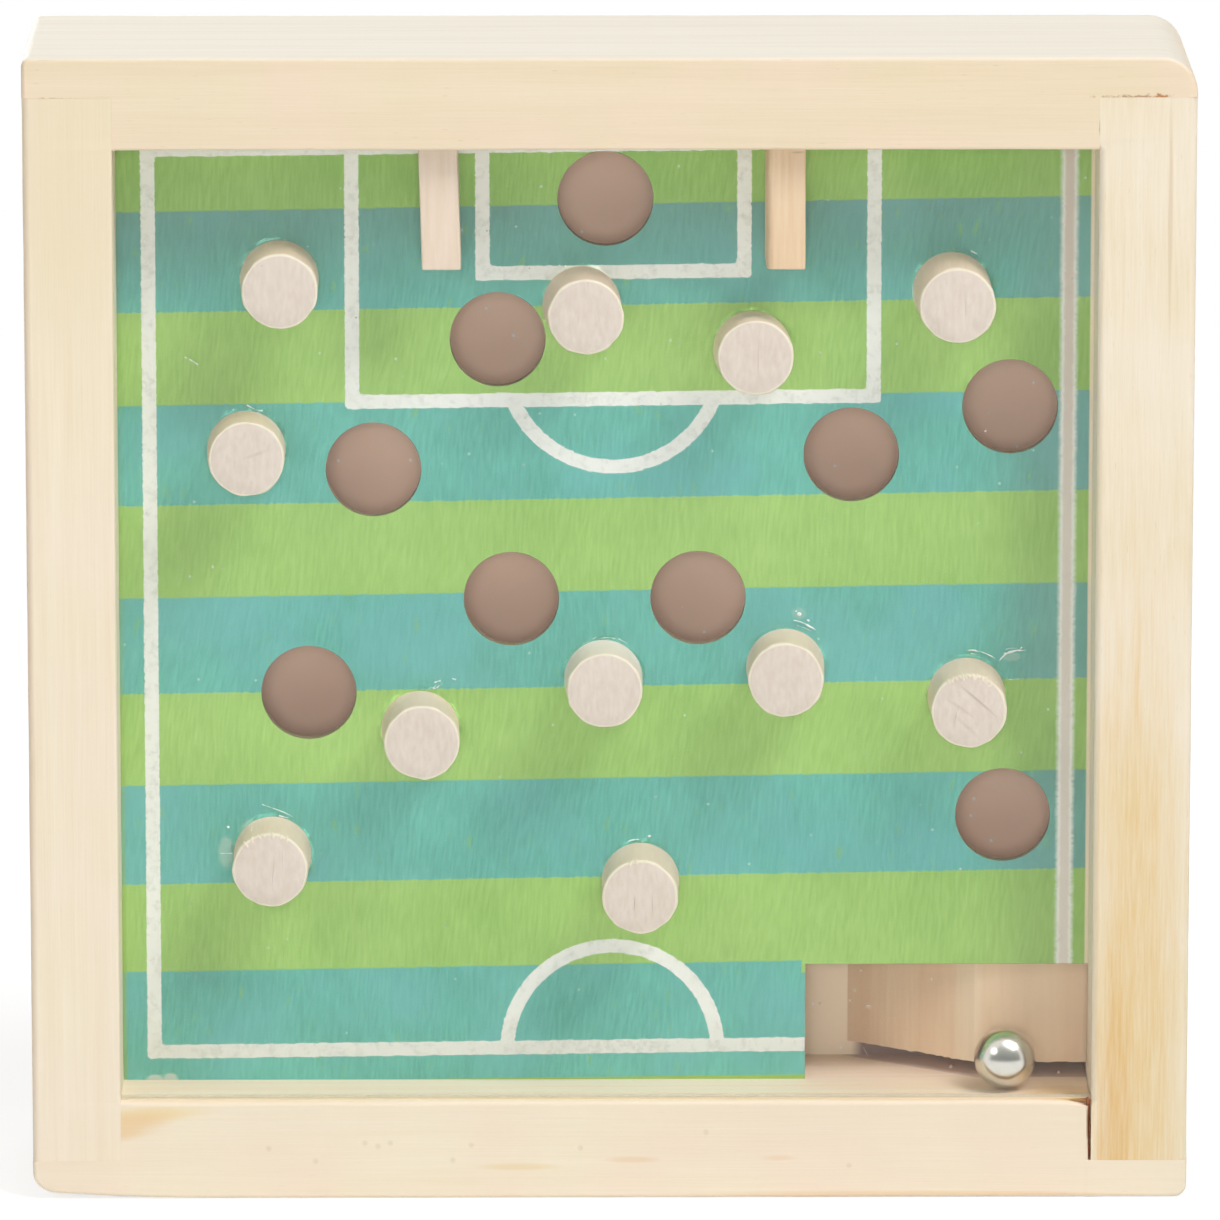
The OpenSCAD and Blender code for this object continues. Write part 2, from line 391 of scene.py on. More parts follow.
pineLook = {
    # "at" and "size" are a patch's middle and half sizes, "pith" lies against the middle of the growth rings
    "topRail": {"grain": "X", "light": "#f2e2c6", "dark": "#ead7b6", "blush": "#f3dcc6", "shift": (0, 3, 9),
                "ticks": 0.3, "fibreLength": 16, "streakLength": 75, "pith": (0, -96, -141), "ringSpacing": 3.4,
                "fibre": 0.5, "streak": 0.6, "ring": 0.2, "streakWidth": 3.2,
                # the paler upward-face colours on this line are a painted sheen from above
                "upFacePaintedLight": ("#efe8d9", "#e9e1d1"), "patches": [
                    # the first patch, pinker down the left end, is painted shade on the rounded left edge
                    {"at": (-75, -18, 144), "size": (0.9, 2, 8), "colour": "#f3dac2", "strength": 0.6},
                    {"at": (-70.5, -18, 144.8), "size": (5, 1, 0.22), "colour": "#bf9870", "strength": 0.6,
                     "ragged": 1.3, "crumbly": True},
                    {"at": (66.6, -18, 144.85), "size": (6.2, 1, 0.34), "colour": "#b08a62", "strength": 0.8,
                     "ragged": 1.1, "crumbly": True},
                    {"at": (70.4, -18, 144.95), "size": (2.5, 1, 0.5), "colour": "#b8763c", "strength": 0.9,
                     "ragged": 0.9, "crumbly": True},
                    {"at": (62.5, -18, 141.4), "size": (0.25, 1, 2.6), "colour": "#a98c62", "strength": 0.9,
                     "ragged": 1.0}]},
    "bottomRail": {"grain": "X", "light": "#f6ead5", "dark": "#f0e1c6", "blush": "#f5e0cc", "shift": (5, 0, 2),
                   "ticks": 0.12, "fibreLength": 16, "streakLength": 75, "pith": (0, -80, 70), "ringSpacing": 4.2,
                   # the near-white upward-face colours on this line are painted light from above
                   "fibre": 0.45, "streak": 0.7, "ring": 0.2, "streakWidth": 3.6, "upFacePaintedLight": ("#ffeed7", "#ffe3c8"),
                   # the return block's foot line: the floor behind it takes painted shade
                   "underBlock": (31.5, 7.1, 0.7195, -4.7),
                   "dents": ((-31.9, 7.4), (-30.2, 7.0), (-28.6, 7.4), (-44.4, 6.7), (-38.3, 5.0), (-20.5, 5.1),
                             (-18.1, 7.1), (-3.9, 6.7), (12.4, 8.8), (31.0, 4.3)),
                   "patches": [
                       {"at": (-62.0, -18, 11.0), "size": (10.5, 3, 1.4), "turn": 5, "colour": "#f0d9a4",
                        "strength": 0.7, "ragged": 0.4},
                       {"at": (-63.8, -18, 9.4), "size": (8.0, 3, 2.1), "turn": 14, "colour": "#edcda0",
                        "strength": 0.85, "ragged": 0.4},
                       {"at": (-12, -18, 4.2), "size": (6, 3, 0.6), "colour": "#ead2a4", "strength": 0.6},
                       {"at": (3, -18, 5.2), "size": (4, 3, 0.5), "colour": "#ebc9a4", "strength": 0.5},
                       {"at": (22, -18, 5.4), "size": (3, 3, 0.5), "colour": "#ebc9a4", "strength": 0.4},
                       {"at": (40, -18, 0.5), "size": (34, 3, 0.6), "colour": "#ebc490", "strength": 0.45},
                       {"at": (62.1, -17.5, 10.2), "size": (0.3, 1.4, 4), "colour": "#8a4a1e", "strength": 0.9,
                        "ragged": 0.2},
                       # this tan patch on the floor in front of the return block is painted shade
                       {"at": (58.6, -13.4, 13), "size": (7.0, 5.0, 0.7), "colour": "#ecc795", "strength": 0.85,
                        "ragged": 0.3},
                       {"at": (60.4, -16.2, 13), "size": (3.8, 2.2, 0.7), "colour": "#cfa256", "strength": 0.8,
                        "ragged": 0.4},
                       {"at": (61.8, -16.6, 13), "size": (1.1, 2.0, 0.9), "colour": "#b06a44", "strength": 0.8,
                        "ragged": 0.4, "crumbly": True}]},
    "leftStile": {"grain": "Z", "light": "#f7ebd4", "dark": "#efdec0", "blush": "#f7e5d6", "shift": (1, 6, 0),
                  "ticks": 0.1, "fibreLength": 16, "streakLength": 75, "pith": (40, -120, 0), "ringSpacing": 3.8,
                  "fibre": 0.4, "streak": 0.9, "ring": 0.1, "streakWidth": 2.6,
                  "patches": [{"at": (-69, -18, 138), "size": (12, 3, 34), "colour": "#ecdcba", "strength": 0.7},
                              # the pinker strip down the left outer edge is painted shade on its rounding
                              {"at": (-75, -18, 75), "size": (0.95, 2, 90), "colour": "#f4d8c0", "strength": 0.6}]},
    "rightStile": {"grain": "Z", "light": "#f4e8d2", "dark": "#ebd9b5", "blush": "#f6ead9", "shift": (7, 0, 4),
                   "ticks": 0.3, "fibreLength": 7, "streakLength": 24, "pith": (-30, -90, 0), "ringSpacing": 2.6,
                   "fibre": 0.65, "streak": 0.7, "ring": 0.05, "streakWidth": 1.2,
                   # the near-white inner-face colours are painted light on a face in shade
                   "paintedLightInnerFace": ("#fff4e6", "#fbe9d2"),
                   "patches": [
                       {"at": (68, -18, 22), "size": (7.5, 12, 74), "colour": "#e8c688", "strength": 0.85,
                        "fibres": True},
                       {"at": (65.5, -18, 10), "size": (3.2, 6, 26), "colour": "#e3b877", "strength": 0.75,
                        "fibres": True},
                       {"at": (71.6, -18, 128), "size": (0.4, 2, 24), "colour": "#d4b98e", "strength": 0.45,
                        "ragged": 0.7}]},
}
pine = {name: makePine("pine " + name, look) for name, look in pineLook.items()}
print("pine mixed")


boardLook = {
    "holes": ((-0.5, 129.8), (-14.4, 111.4), (-30.5, 94.3), (31.3, 96.2), (51.8, 102.5), (-12.7, 77.2),
              (11.5, 77.3), (-39.0, 64.8), (51.2, 48.4)),
    # the notch's left end and top, the broken edge, how far the board goes into the grooves, the drill's length
    "holeRadius": 6.15, "notch": (25.6, 28.4), "rim": 0.12, "reach": 2.7, "drill": 6,
}
printLook = {
    "green": ("#b2da7b", "#8ab85a"), "teal": ("#76ccbd", "#549f8f"), "coolTeal": "#74bcc0",
    "line": ("#f3f5ee", "#dadcd4"), "edge": "#9cc052", "smear": "#84bc62", "worn": ("#d9cdc2", "#cdbbac"),
    # the greyer tints after the margin, and the first two spans below, are painted shade from the top rail and the
    # right stile
    "margin": "#f5e4ca", "paintedShade": ("#7f938e", "#8f9a70"), "film": "#c3d3c6", "dust": "#c4e4cc",
    # millimetres from the start to the full strength of what changes over the board
    "paintedShadeAbove": (112.0, 134.0), "paintedShadeRight": (46.0, 58.0), "leftEdge": (-62.9, -63.2), "unprinted": (61.95, 62.15),
    "roughLine": (50.0, 56.0), "fadedLine": (60.0, 125.0), "dirtyLine": (22.0, 17.5),
    # dried glue films: middle X and Z, width, height and strength
    "films": ((-49.9, 43.6, 2.2, 4.6, 0.4), (-46.6, 46.8, 3.0, 2.4, 0.3), (24.6, 75.2, 2.0, 1.6, 0.3),
              (52.2, 69.4, 2.6, 1.2, 0.3), (-59.4, 13.1, 2.4, 1.3, 0.9), (-57.4, 13.2, 2.0, 1.5, 0.9)),
    "rise": 0.0163, "lineRise": 0.011, "footRise": 0.0105, "foot": 13.3,  # the print runs uphill to the right
    "stripes": (28.26, 40.06, 53.35, 65.59, 78.18, 90.43, 103.79, 115.88, 128.76),  # heights of the joins at X 0
    "lineWidth": 1.85,
    # left, right, foot and top of the pitch, the penalty box and the goal box
    "boxes": ((-59.42, 59.3, 17.4, 136.85), (-33.2, 34.15, 103.55, 170), (-16.34, 17.4, 120.2, 170)),
    # middle X and height, radius, and whether the arc lies above or below its cut
    "arcs": ((0.5, 108.6, 13.95, 103.4, -1), (0.4, 17.2, 13.7, 17.4, 1)),
}


def makePitchPrint(look):
    # screen-printed plywood: matte green and teal over vertical grain, pale lines with ragged edges
    material, add, shader, point = startMaterial("screen-printed plywood")
    split = add("SeparateXYZ", {0: point}).node.outputs
    x, z = split["X"], split["Z"]

    # strokes of the ground coat, under half a millimetre wide, that wander off the upright
    sway = add("TexNoise", {"Vector": point, "Scale": 0.022, "Detail": 1.0}, out="Color")
    strokeAt = add("VectorMath", {0: sway, 1: (6, 0, 0), 2: point}, operation="MULTIPLY_ADD")
    strokeAt = add("Mapping", {"Vector": strokeAt, "Rotation": (0, math.radians(-6), 0)})
    strokeAt = add("Mapping", {"Vector": strokeAt, "Scale": (2.5, 1, 0.36)})
    stroke = add("TexNoise", {"Vector": strokeAt, "Scale": 1.0, "Detail": 3.0, "Roughness": 0.6})
    stroke = add("MapRange", {"Value": stroke, "From Min": 0.3, "From Max": 0.7})
    cloudy = add("TexNoise", {"Vector": point, "Scale": 0.09, "Detail": 3.0})
    cool = add("TexNoise", {"Vector": add("Mapping", {"Vector": point, "Location": (40, 0, 9)}), "Scale": 0.07,
                            "Detail": 2.0})
    nick = add("TexNoise", {"Vector": add("Mapping", {"Vector": point, "Scale": (0.7, 1, 2.6)}),
                            "Scale": 1.0, "Detail": 4.0, "Roughness": 0.75})

    # stripes
    stripe = addUp(add, (x, -look["rise"]), (stroke, 0.25), start=z)
    # over the notch the green runs down to the saw cut
    overNotch = add("Math", {0: x, 1: look["notch"][0] - 0.5}, operation="GREATER_THAN")
    lowDown = add("Math", {0: z, 1: look["notch"][1] + 3}, operation="LESS_THAN")
    overNotch = add("Math", {0: overNotch, 1: lowDown}, operation="MULTIPLY")
    stripe = addUp(add, (overNotch, 1.6), start=stripe)
    foot, height = case["windowFoot"], case["windowTop"] - case["windowFoot"]
    stripe = add("MapRange", {"Value": stripe, "From Min": foot, "From Max": foot + height})
    band = add("ValToRGB", {0: stripe})
    stops = [(0, [0, 0, 0, 1])]
    for i, edge in enumerate(look["stripes"]):
        stops.append(((edge - foot) / height, [1, 1, 1, 1] if i % 2 == 0 else [0, 0, 0, 1]))
    setStops(band, stops, "CONSTANT")

    # painted shade: the inks darkened where the top rail and the right stile shade the board
    start, full = look["paintedShadeAbove"]
    paintedShade = add("MapRange", {"Value": z, "From Min": start, "From Max": full}, **eased)
    start, full = look["paintedShadeRight"]
    paintedShadeRight = add("MapRange", {"Value": x, "From Min": start, "From Max": full, "To Max": 0.8}, **eased)
    paintedShade = add("Math", {0: paintedShade, 1: paintedShadeRight}, operation="MAXIMUM")
    inks = []
    for ink in ("teal", "green"):
        light, dark = (fromHex(c) for c in look[ink])
        shade = addUp(add, (stroke, 0.4), (cloudy, 0.9), (paintedShade, 0.3), start=-0.19)
        inks.append(add("Mix", {0: shade, 6: light, 7: dark}, **inColour))
    cool = add("MapRange", {"Value": cool, "From Min": 0.48, "From Max": 0.64, "To Max": 0.4})
    inks[0] = add("Mix", {0: cool, 6: inks[0], 7: fromHex(look["coolTeal"])}, **inColour)
    shadeGrey = add("Math", {0: paintedShade, 1: 0.45}, operation="MULTIPLY")
    inks[0] = add("Mix", {0: shadeGrey, 6: inks[0], 7: fromHex(look["paintedShade"][0])}, **inColour)
    shadeGrey = add("Math", {0: paintedShadeRight, 1: 0.15}, operation="MULTIPLY")
    inks[1] = add("Mix", {0: shadeGrey, 6: inks[1], 7: fromHex(look["paintedShade"][1])}, **inColour)
    # yellow-green smears where the teal is thin
    smearAt = add("Mapping", {"Vector": strokeAt, "Scale": (0.42, 1, 0.8), "Location": (3, 0, 7)})
    smear = add("TexNoise", {"Vector": smearAt, "Scale": 1.0, "Detail": 2.0})
    smear = add("MapRange", {"Value": smear, "From Min": 0.66, "From Max": 0.78, "To Max": 0.6})
    inks[0] = add("Mix", {0: smear, 6: inks[0], 7: fromHex(look["smear"])}, **inColour)
    colour = add("Mix", {0: band, 6: inks[0], 7: inks[1]}, **inColour)

    # a yellow-green border shows along the left edge and the right half of the foot
    start, full = look["leftEdge"]
    edgeX = add("MapRange", {"Value": x, "From Min": start, "From Max": full})
    lowDown = add("MapRange", {"Value": z, "From Min": 100.0, "From Max": 25.0, "To Min": 0.1, "To Max": 0.6})
    edgeX = add("Math", {0: edgeX, 1: lowDown}, operation="MULTIPLY")
    slopeFoot = addUp(add, (x, look["footRise"]), start=look["foot"])
    edgeZ = add("Math", {0: z, 1: slopeFoot}, operation="LESS_THAN")
    border = add("Math", {0: edgeX, 1: edgeZ}, operation="MAXIMUM")
    colour = add("Mix", {0: border, 6: colour, 7: fromHex(look["edge"])}, **inColour)
    # and the right edge stayed unprinted
    start, full = look["unprinted"]
    margin = add("MapRange", {"Value": x, "From Min": start, "From Max": full, "To Max": 0.9})
    colour = add("Mix", {0: margin, 6: colour, 7: fromHex(look["margin"])}, **inColour)

    # lines: each is the band round a box's or an arc's outline
    v = addUp(add, (x, -look["lineRise"]), start=z)
    nearest = None
    for left, right, low, high in look["boxes"]:
        beside, over = outsideOf(add, x, left, right), outsideOf(add, v, low, high)
        outline = add("Math", {0: beside, 1: over, 2: 0.9}, operation="SMOOTH_MAX")  # corners are a little round
        outline = add("Math", {0: outline}, operation="ABSOLUTE")
        nearest = outline if nearest is None else add("Math", {0: nearest, 1: outline}, operation="MINIMUM")
    for middle, heightAt, radius, cut, side in look["arcs"]:
        dx = add("Math", {0: x, 1: middle}, operation="SUBTRACT")
        dz = add("Math", {0: z, 1: heightAt}, operation="SUBTRACT")
        arm = add("CombineXYZ", {0: dx, 1: dz})
        arm = add("VectorMath", {0: arm}, out="Value", operation="LENGTH")
        outline = add("Math", {0: arm, 1: radius}, operation="SUBTRACT")
        outline = add("Math", {0: outline}, operation="ABSOLUTE")
        beyond = add("Math", {0: v, 1: cut}, operation="SUBTRACT")
        beyond = add("Math", {0: beyond, 1: -side * 50.0}, operation="MULTIPLY")
        outline = add("Math", {0: outline, 1: beyond}, operation="MAXIMUM")
        nearest = add("Math", {0: nearest, 1: outline}, operation="MINIMUM")
    # the right touchline came out the roughest, with soft edges and a pinkish worn middle
    start, full = look["roughLine"]
    last = add("MapRange", {"Value": x, "From Min": start, "From Max": full})
    coarse = add("MapRange", {"Value": last, "To Min": 0.6, "To Max": 0.85})
    ragged = add("Math", {0: nick, 1: 0.5}, operation="SUBTRACT")
    ragged = addUp(add, (ragged, coarse), start=nearest)
    half = look["lineWidth"] / 2
    outside = add("MapRange", {"Value": last, "To Min": half + 0.04, "To Max": half + 0.4})
    inside = add("MapRange", {"Value": last, "To Min": half - 0.04, "To Max": half - 0.18})
    line = add("MapRange", {"Value": ragged, "From Min": outside, "From Max": inside})
    core = add("MapRange", {"Value": ragged, "From Min": half - 0.15, "From Max": half - 0.5, "To Max": 0.75})
    core = add("Math", {0: core, 1: last}, operation="MULTIPLY")
    dirt = add("TexNoise", {"Vector": point, "Scale": 0.9, "Detail": 4.0, "Roughness": 0.7})
    dirt = add("MapRange", {"Value": dirt, "From Min": 0.5, "From Max": 0.75})
    start, full = look["dirtyLine"]
    lowLine = add("MapRange", {"Value": z, "From Min": start, "From Max": full, "To Max": 0.5})
    dirt = add("Math", {0: dirt, 1: lowLine}, operation="ADD")
    start, full = look["fadedLine"]
    upHigh = add("MapRange", {"Value": z, "From Min": start, "From Max": full})
    grey = add("MapRange", {"Value": upHigh, "To Min": 0.2, "To Max": 0.6})
    dirt = addUp(add, (last, grey), start=dirt)
    white = add("Mix", {0: dirt, 6: fromHex(look["line"][0]), 7: fromHex(look["line"][1])}, **inColour)
    worn = add("Mix", {0: upHigh, 6: fromHex(look["worn"][0]), 7: fromHex(look["worn"][1])}, **inColour)
    white = add("Mix", {0: core, 6: white, 7: worn}, **inColour)
    colour = add("Mix", {0: line, 6: colour, 7: white}, **inColour)

    for middleX, middleZ, width, height, strength in look["films"]:
        # thin dried glue beside a peg, seen as a pale veil
        far = farFrom(add, point, (middleX, 0, middleZ), (width / 2, 1e6, height / 2))
        far = addUp(add, (nick, 0.6), start=far)
        film = add("MapRange", {"Value": far, "From Min": 1.4, "From Max": 1.0, "To Max": strength})
        colour = add("Mix", {0: film, 6: colour, 7: fromHex(look["film"])}, **inColour)

    # pale dust and lint lying on the print
    dust = add("TexVoronoi", {"Vector": point, "Scale": 0.22, "Randomness": 1.0}, out="Distance")
    dust = add("MapRange", {"Value": dust, "From Min": 0.05, "From Max": 0.025, "To Max": 0.7})
    colour = add("Mix", {0: dust, 6: colour, 7: fromHex(look["dust"])}, **inColour)
    rough = add("MapRange", {"Value": stroke, "To Min": 0.5, "To Max": 0.66})
    relief = addUp(add, (line, 0.8), start=stroke)
    bump = add("Bump", {"Height": relief, "Strength": 0.3, "Distance": 0.00003})
    setInputs(shader, {"Base Color": colour, "Roughness": rough, "Normal": bump})
    return material


markColour = "#a58e74"  # what saw marks and cracks turn to


def makeBareWood(name, light, dark, scale, relief=0.00005, scratches=()):
    # sawn or turned light wood: two tones in fibres along one way
    material, add, shader, point = startMaterial(name)
    fibreAt = add("Mapping", {"Vector": point, "Scale": scale})
    fibre = add("TexNoise", {"Vector": fibreAt, "Scale": 1.0, "Detail": 4.0, "Roughness": 0.6})
    tone = add("MapRange", {"Value": fibre, "From Min": 0.3, "From Max": 0.7})
    cloudy = add("TexNoise", {"Vector": point, "Scale": 0.12, "Detail": 2.0})
    tone = addUp(add, (tone, 0.6), (cloudy, 0.4))
    colour = add("Mix", {0: tone, 6: fromHex(light), 7: fromHex(dark)}, **inColour)
    for x, z, turn, length, width, strength in scratches:
        # a saw mark or a crack: a fine line at X and Z, turned from the upright
        far = farFrom(add, point, (x, 0, z), (width / 2, 1e6, length / 2), -turn)
        crack = addUp(add, (fibre, 0.8), start=far)
        crack = add("MapRange", {"Value": crack, "From Min": 1.5, "From Max": 0.7, "To Max": strength})
        colour = add("Mix", {0: crack, 6: colour, 7: fromHex(markColour)}, **inColour)
        fibre = addUp(add, (crack, -2.0), start=fibre)
    rough = add("MapRange", {"Value": fibre, "To Min": 0.55, "To Max": 0.75})
    bump = add("Bump", {"Height": fibre, "Strength": 0.4, "Distance": relief})
    setInputs(shader, {"Base Color": colour, "Roughness": rough, "Normal": bump})
    return material


pitchPrint = makePitchPrint(printLook | {"notch": boardLook["notch"]})
# saw marks and cracks: X, Z, turn in degrees, length, width and strength
tipMarks = ((47.6, 65.5, -49, 7.0, 0.45, 0.42), (45.2, 64.6, -55, 5.2, 0.6, 0.22), (46.0, 62.2, -46, 4.6, 0.7, 0.2),
            (-45.6, 98.0, 70, 4.0, 0.5, 0.2), (44.6, 63.2, 12, 3.0, 0.2, 0.35), (3.2, 38.7, 3, 2.6, 0.14, 0.7),
            (5.5, 38.6, -2, 3.4, 0.12, 0.55), (-43.6, 43.0, 4, 4.4, 0.12, 0.45), (-42.4, 44.6, 2, 2.4, 0.1, 0.35),
            (19.0, 110.2, 0, 5.0, 0.12, 0.4), (45.6, 117.4, 1, 4.2, 0.12, 0.35))
woodLook = {
    # name, light and dark tone, scale of the fibres, and for some the relief in metres and the marks
    "plywood": ("raw birch plywood", "#f6e4c8", "#e8cfac", (0.4, 6, 0.4)),
    # the drilled and sawn edge is coloured far darker than the plywood's face
    "plywoodEdge": ("drilled plywood edge", "#a09470", "#6f6a4c", (0.8, 5, 0.8)),
    "dowelSide": ("beech dowel side", "#f7e2ce", "#efd3bb", (2.5, 0.2, 2.5)),
    "palerSide": ("pale beech dowel side", "#fff4e9", "#fce3d3", (2.5, 0.2, 2.5)),
    # the rim's pale colours are a painted highlight on the pegs' chamfers; splinters and sawdust wear them as pale
    # fibres
    "rimHighlightAndFibres": ("beech dowel rim", "#faf0de", "#f0e3ca", (3, 3, 3)),
    "dowelTip": ("beech end grain", "#ece0d5", "#dbcabb", (1.9, 1.9, 0.7), 0.00009, tipMarks),
    "goalPostLeft": ("split pine strip", "#f2dfce", "#e5ceb4", (1.4, 1.4, 0.1)),
    "goalPostRight": ("split heart pine strip", "#f6dcbc", "#e6c298", (1.8, 1.8, 0.09), 0.00005,
                      ((24.0, 137.3, 88, 1.9, 0.3, 0.5),)),
}
wood = {name: makeBareWood(*look) for name, look in woodLook.items()}
print("woods mixed")


def makeBlockWood(look):
    # pine cut with a coarse saw: broad soft bands down the grain, a few fine lines, pinkish at the right
    material, add, shader, point = startMaterial("sawn pine block")
    band = drawGrain(add, point, (0.28, 0.28, 0.02), 0.3, 0.7, 2.0, 0.5)
    fine = drawGrain(add, point, (1.6, 1.6, 0.06), 0.35, 0.65, 3.0, 0.5)
    tone = addUp(add, (band, 0.65), (fine, 0.25))
    colour = add("Mix", {0: tone, 6: fromHex(look["light"]), 7: fromHex(look["dark"])}, **inColour)
    x = add("SeparateXYZ", {0: point})
    start, full = look["pinkOver"]
    pink = add("MapRange", {"Value": x, "From Min": start, "From Max": full, "To Max": 0.55}, **eased)
    colour = add("Mix", {0: pink, 6: colour, 7: fromHex(look["pink"])}, **inColour)
    # a painted highlight down the front corner, where the slanting side meets the front
    highlight = add("Math", {0: x, 1: look["front"][0] - look["cornerHighlightShift"]}, operation="SUBTRACT")
    highlight = add("Math", {0: highlight}, operation="ABSOLUTE")
    highlight = add("MapRange", {"Value": highlight, "From Min": 2.6, "From Max": 0.6, "To Max": 0.5}, **eased)
    colour = add("Mix", {0: highlight, 6: colour, 7: fromHex(look["cornerHighlight"])}, **inColour)
    rough = add("MapRange", {"Value": fine, "To Min": 0.6, "To Max": 0.75})
    bump = add("Bump", {"Height": fine, "Strength": 0.4, "Distance": 0.00005})
    setInputs(shader, {"Base Color": colour, "Roughness": rough, "Normal": bump})
    return material


panelLook = {
    # the face towards the board is coloured near white as painted light for the recess behind the board; the back
    # keeps the brown
    "inner": ("#ffe3cd", "#ffd2b6"), "back": ("#a98768", "#8f6d50"), "dust": "#ffffff",
    # painted light, paler on the face in the open notch, and painted shade along the foot under the block:
    # from and to in X, from and to in Z, each from the start to the full strength, and the colour
    "marks": ((23.0, 25.0, 31.0, 29.0, "#ffecd0"), (32.0, 33.5, 15.2, 14.9, "#9a7f78")),
}


def makeHardboard(look):
    # hardboard: fuzzy on the face towards the board, where its near-white colour is painted light for the dim recess,
    # smooth and brown on the back
    material, add, shader, point = startMaterial("hardboard")
    fuzz = add("TexNoise", {"Vector": point, "Scale": 1.6, "Detail": 4.0, "Roughness": 0.7})
    cloudy = add("TexNoise", {"Vector": point, "Scale": 0.08, "Detail": 2.0})
    tone = addUp(add, (cloudy, 0.6), (fuzz, 0.5), start=-0.1)
    pale = add("Mix", {0: tone, 6: fromHex(look["inner"][0]), 7: fromHex(look["inner"][1])}, **inColour)
    split = add("SeparateXYZ", {0: point}).node.outputs
    # the first of these is painted light in the open notch, the second painted shade under the block
    for startX, fullX, startZ, fullZ, colour in look["marks"]:
        mark = add("MapRange", {"Value": split["X"], "From Min": startX, "From Max": fullX})
        low = add("MapRange", {"Value": split["Z"], "From Min": startZ, "From Max": fullZ})
        mark = add("Math", {0: mark, 1: low}, operation="MULTIPLY")
        pale = add("Mix", {0: mark, 6: pale, 7: fromHex(colour)}, **inColour)
    brown = add("Mix", {0: tone, 6: fromHex(look["back"][0]), 7: fromHex(look["back"][1])}, **inColour)
    dust = add("TexVoronoi", {"Vector": point, "Scale": 0.3}, out="Distance")
    dust = add("MapRange", {"Value": dust, "From Min": 0.09, "From Max": 0.05, "To Max": 0.8})
    pale = add("Mix", {0: dust, 6: pale, 7: fromHex(look["dust"])}, **inColour)
    normal = add("SeparateXYZ", {0: add("NewGeometry", out="Normal")}, out="Y")
    facing = add("MapRange", {"Value": normal, "From Min": -0.5, "From Max": 0.5})
    colour = add("Mix", {0: facing, 6: pale, 7: brown}, **inColour)
    rough = add("MapRange", {"Value": facing, "To Min": 0.8, "To Max": 0.45})
    bump = add("Bump", {"Height": fuzz, "Strength": 0.3, "Distance": 0.00003})
    setInputs(shader, {"Base Color": colour, "Roughness": rough, "Normal": bump})
    return material


ballLook = {"steel": ("#e4e1da", "#d8d5cd"), "rough": (0.19, 0.26)}


def makeSteel(look):
    # bearing steel with a played, slightly satin polish: it mirrors the case and the room softly
    material, add, shader, point = startMaterial("polished chrome steel")
    haze = add("TexNoise", {"Vector": point, "Scale": 0.8, "Detail": 3.0})
    rough = add("MapRange", {"Value": haze, "To Min": look["rough"][0], "To Max": look["rough"][1]})
    colour = add("Mix", {0: haze, 6: fromHex(look["steel"][0]), 7: fromHex(look["steel"][1])}, **inColour)
    setInputs(shader, {"Base Color": colour, "Roughness": rough, "Metallic": 1.0})
    return material


# the sheet's foot takes a pale dusty colour: wood dust, and painted light over the shade in the groove
coverLook = {"veil": "#e4ebe6", "speck": "#f4f4ee", "dustAndGrooveLight": "#fde6bb", "milky": (0.015, 0.04)}


def makeClearSheet(look):
    # clear polystyrene sheet: all but invisible, with a thin milky veil and specks of dust
    material, add, shader, point = startMaterial("clear polystyrene")
    veil = add("TexNoise", {"Vector": point, "Scale": 0.03, "Detail": 2.0})
    veil = add("MapRange", {"Value": veil, "To Min": look["milky"][0], "To Max": look["milky"][1]})
    speck = add("TexVoronoi", {"Vector": point, "Scale": 0.16}, out="Distance")
    speck = add("MapRange", {"Value": speck, "From Min": 0.03, "From Max": 0.012, "To Max": 0.6})
    alpha = add("Math", {0: veil, 1: speck}, operation="MAXIMUM")
    colour = add("Mix", {0: speck, 6: fromHex(look["veil"]), 7: fromHex(look["speck"])}, **inColour)
    # a pale band over the edge in the bottom groove and the first half millimetre over it: wood dust, and painted
    # light that hides the groove's shade
    buried = add("SeparateXYZ", {0: point}, out="Z")
    buried = add("MapRange", {"Value": buried, "From Min": case["windowFoot"] + 0.5,
                              "From Max": case["windowFoot"] - 0.05, "To Max": 0.95})
    alpha = add("Math", {0: alpha, 1: buried}, operation="MAXIMUM")
    colour = add("Mix", {0: buried, 6: colour, 7: fromHex(look["dustAndGrooveLight"])}, **inColour)
    setInputs(shader, {"Base Color": colour, "Alpha": alpha, "Roughness": 0.12, "IOR": 1.59})
    return material


# Rails and stiles

railLook = {
    "topRail": {"node": "top_rail", "inner": 138.0, "lap": 144.8, "outer": 150.0, "shoulders": (-63.5, 62.5),
                "corners": (1.2, 4.6), "innerEdge": 0.4, "grooves": ("cover", "board", "panel")},
    "bottomRail": {"node": "bottom_rail", "inner": 13.0, "lap": 5.0, "outer": 0.0, "shoulders": (-63.5, 62.1),
                   "corners": (3.0, 1.6), "innerEdge": 0.7, "grooves": ("cover", "panel"),
                   # from and to in X, and where it starts behind the front
                   "openShoulder": (62.1, 62.42, -16.9, -16.8),
                   # length and height; start, height and step of the cuts
                   "runOut": (24, 0.9), "dip": (57.5, 0.8, 0.6)},
    "edge": 0.6, "seam": 0.02, "wear": (0.08, 9), "cuts": [x * 3.1 - 72 for x in range(47)], "saw": (-70, 70),
}
stileLook = {
    "leftStile": {"node": "left_stile", "outer": -75.0, "inner": -63.5, "innerEdge": 0.4, "slot": "pine"},
    "rightStile": {"node": "right_stile", "outer": 75.0, "inner": 62.5, "innerEdge": 0.9, "slot": "warm_pine"},
    "edge": 1.0, "seam": 0.05, "wear": (0.08, 9), "cuts": [z * 3.1 + 6.5 for z in range(45)], "saw": (-5, 155),
}


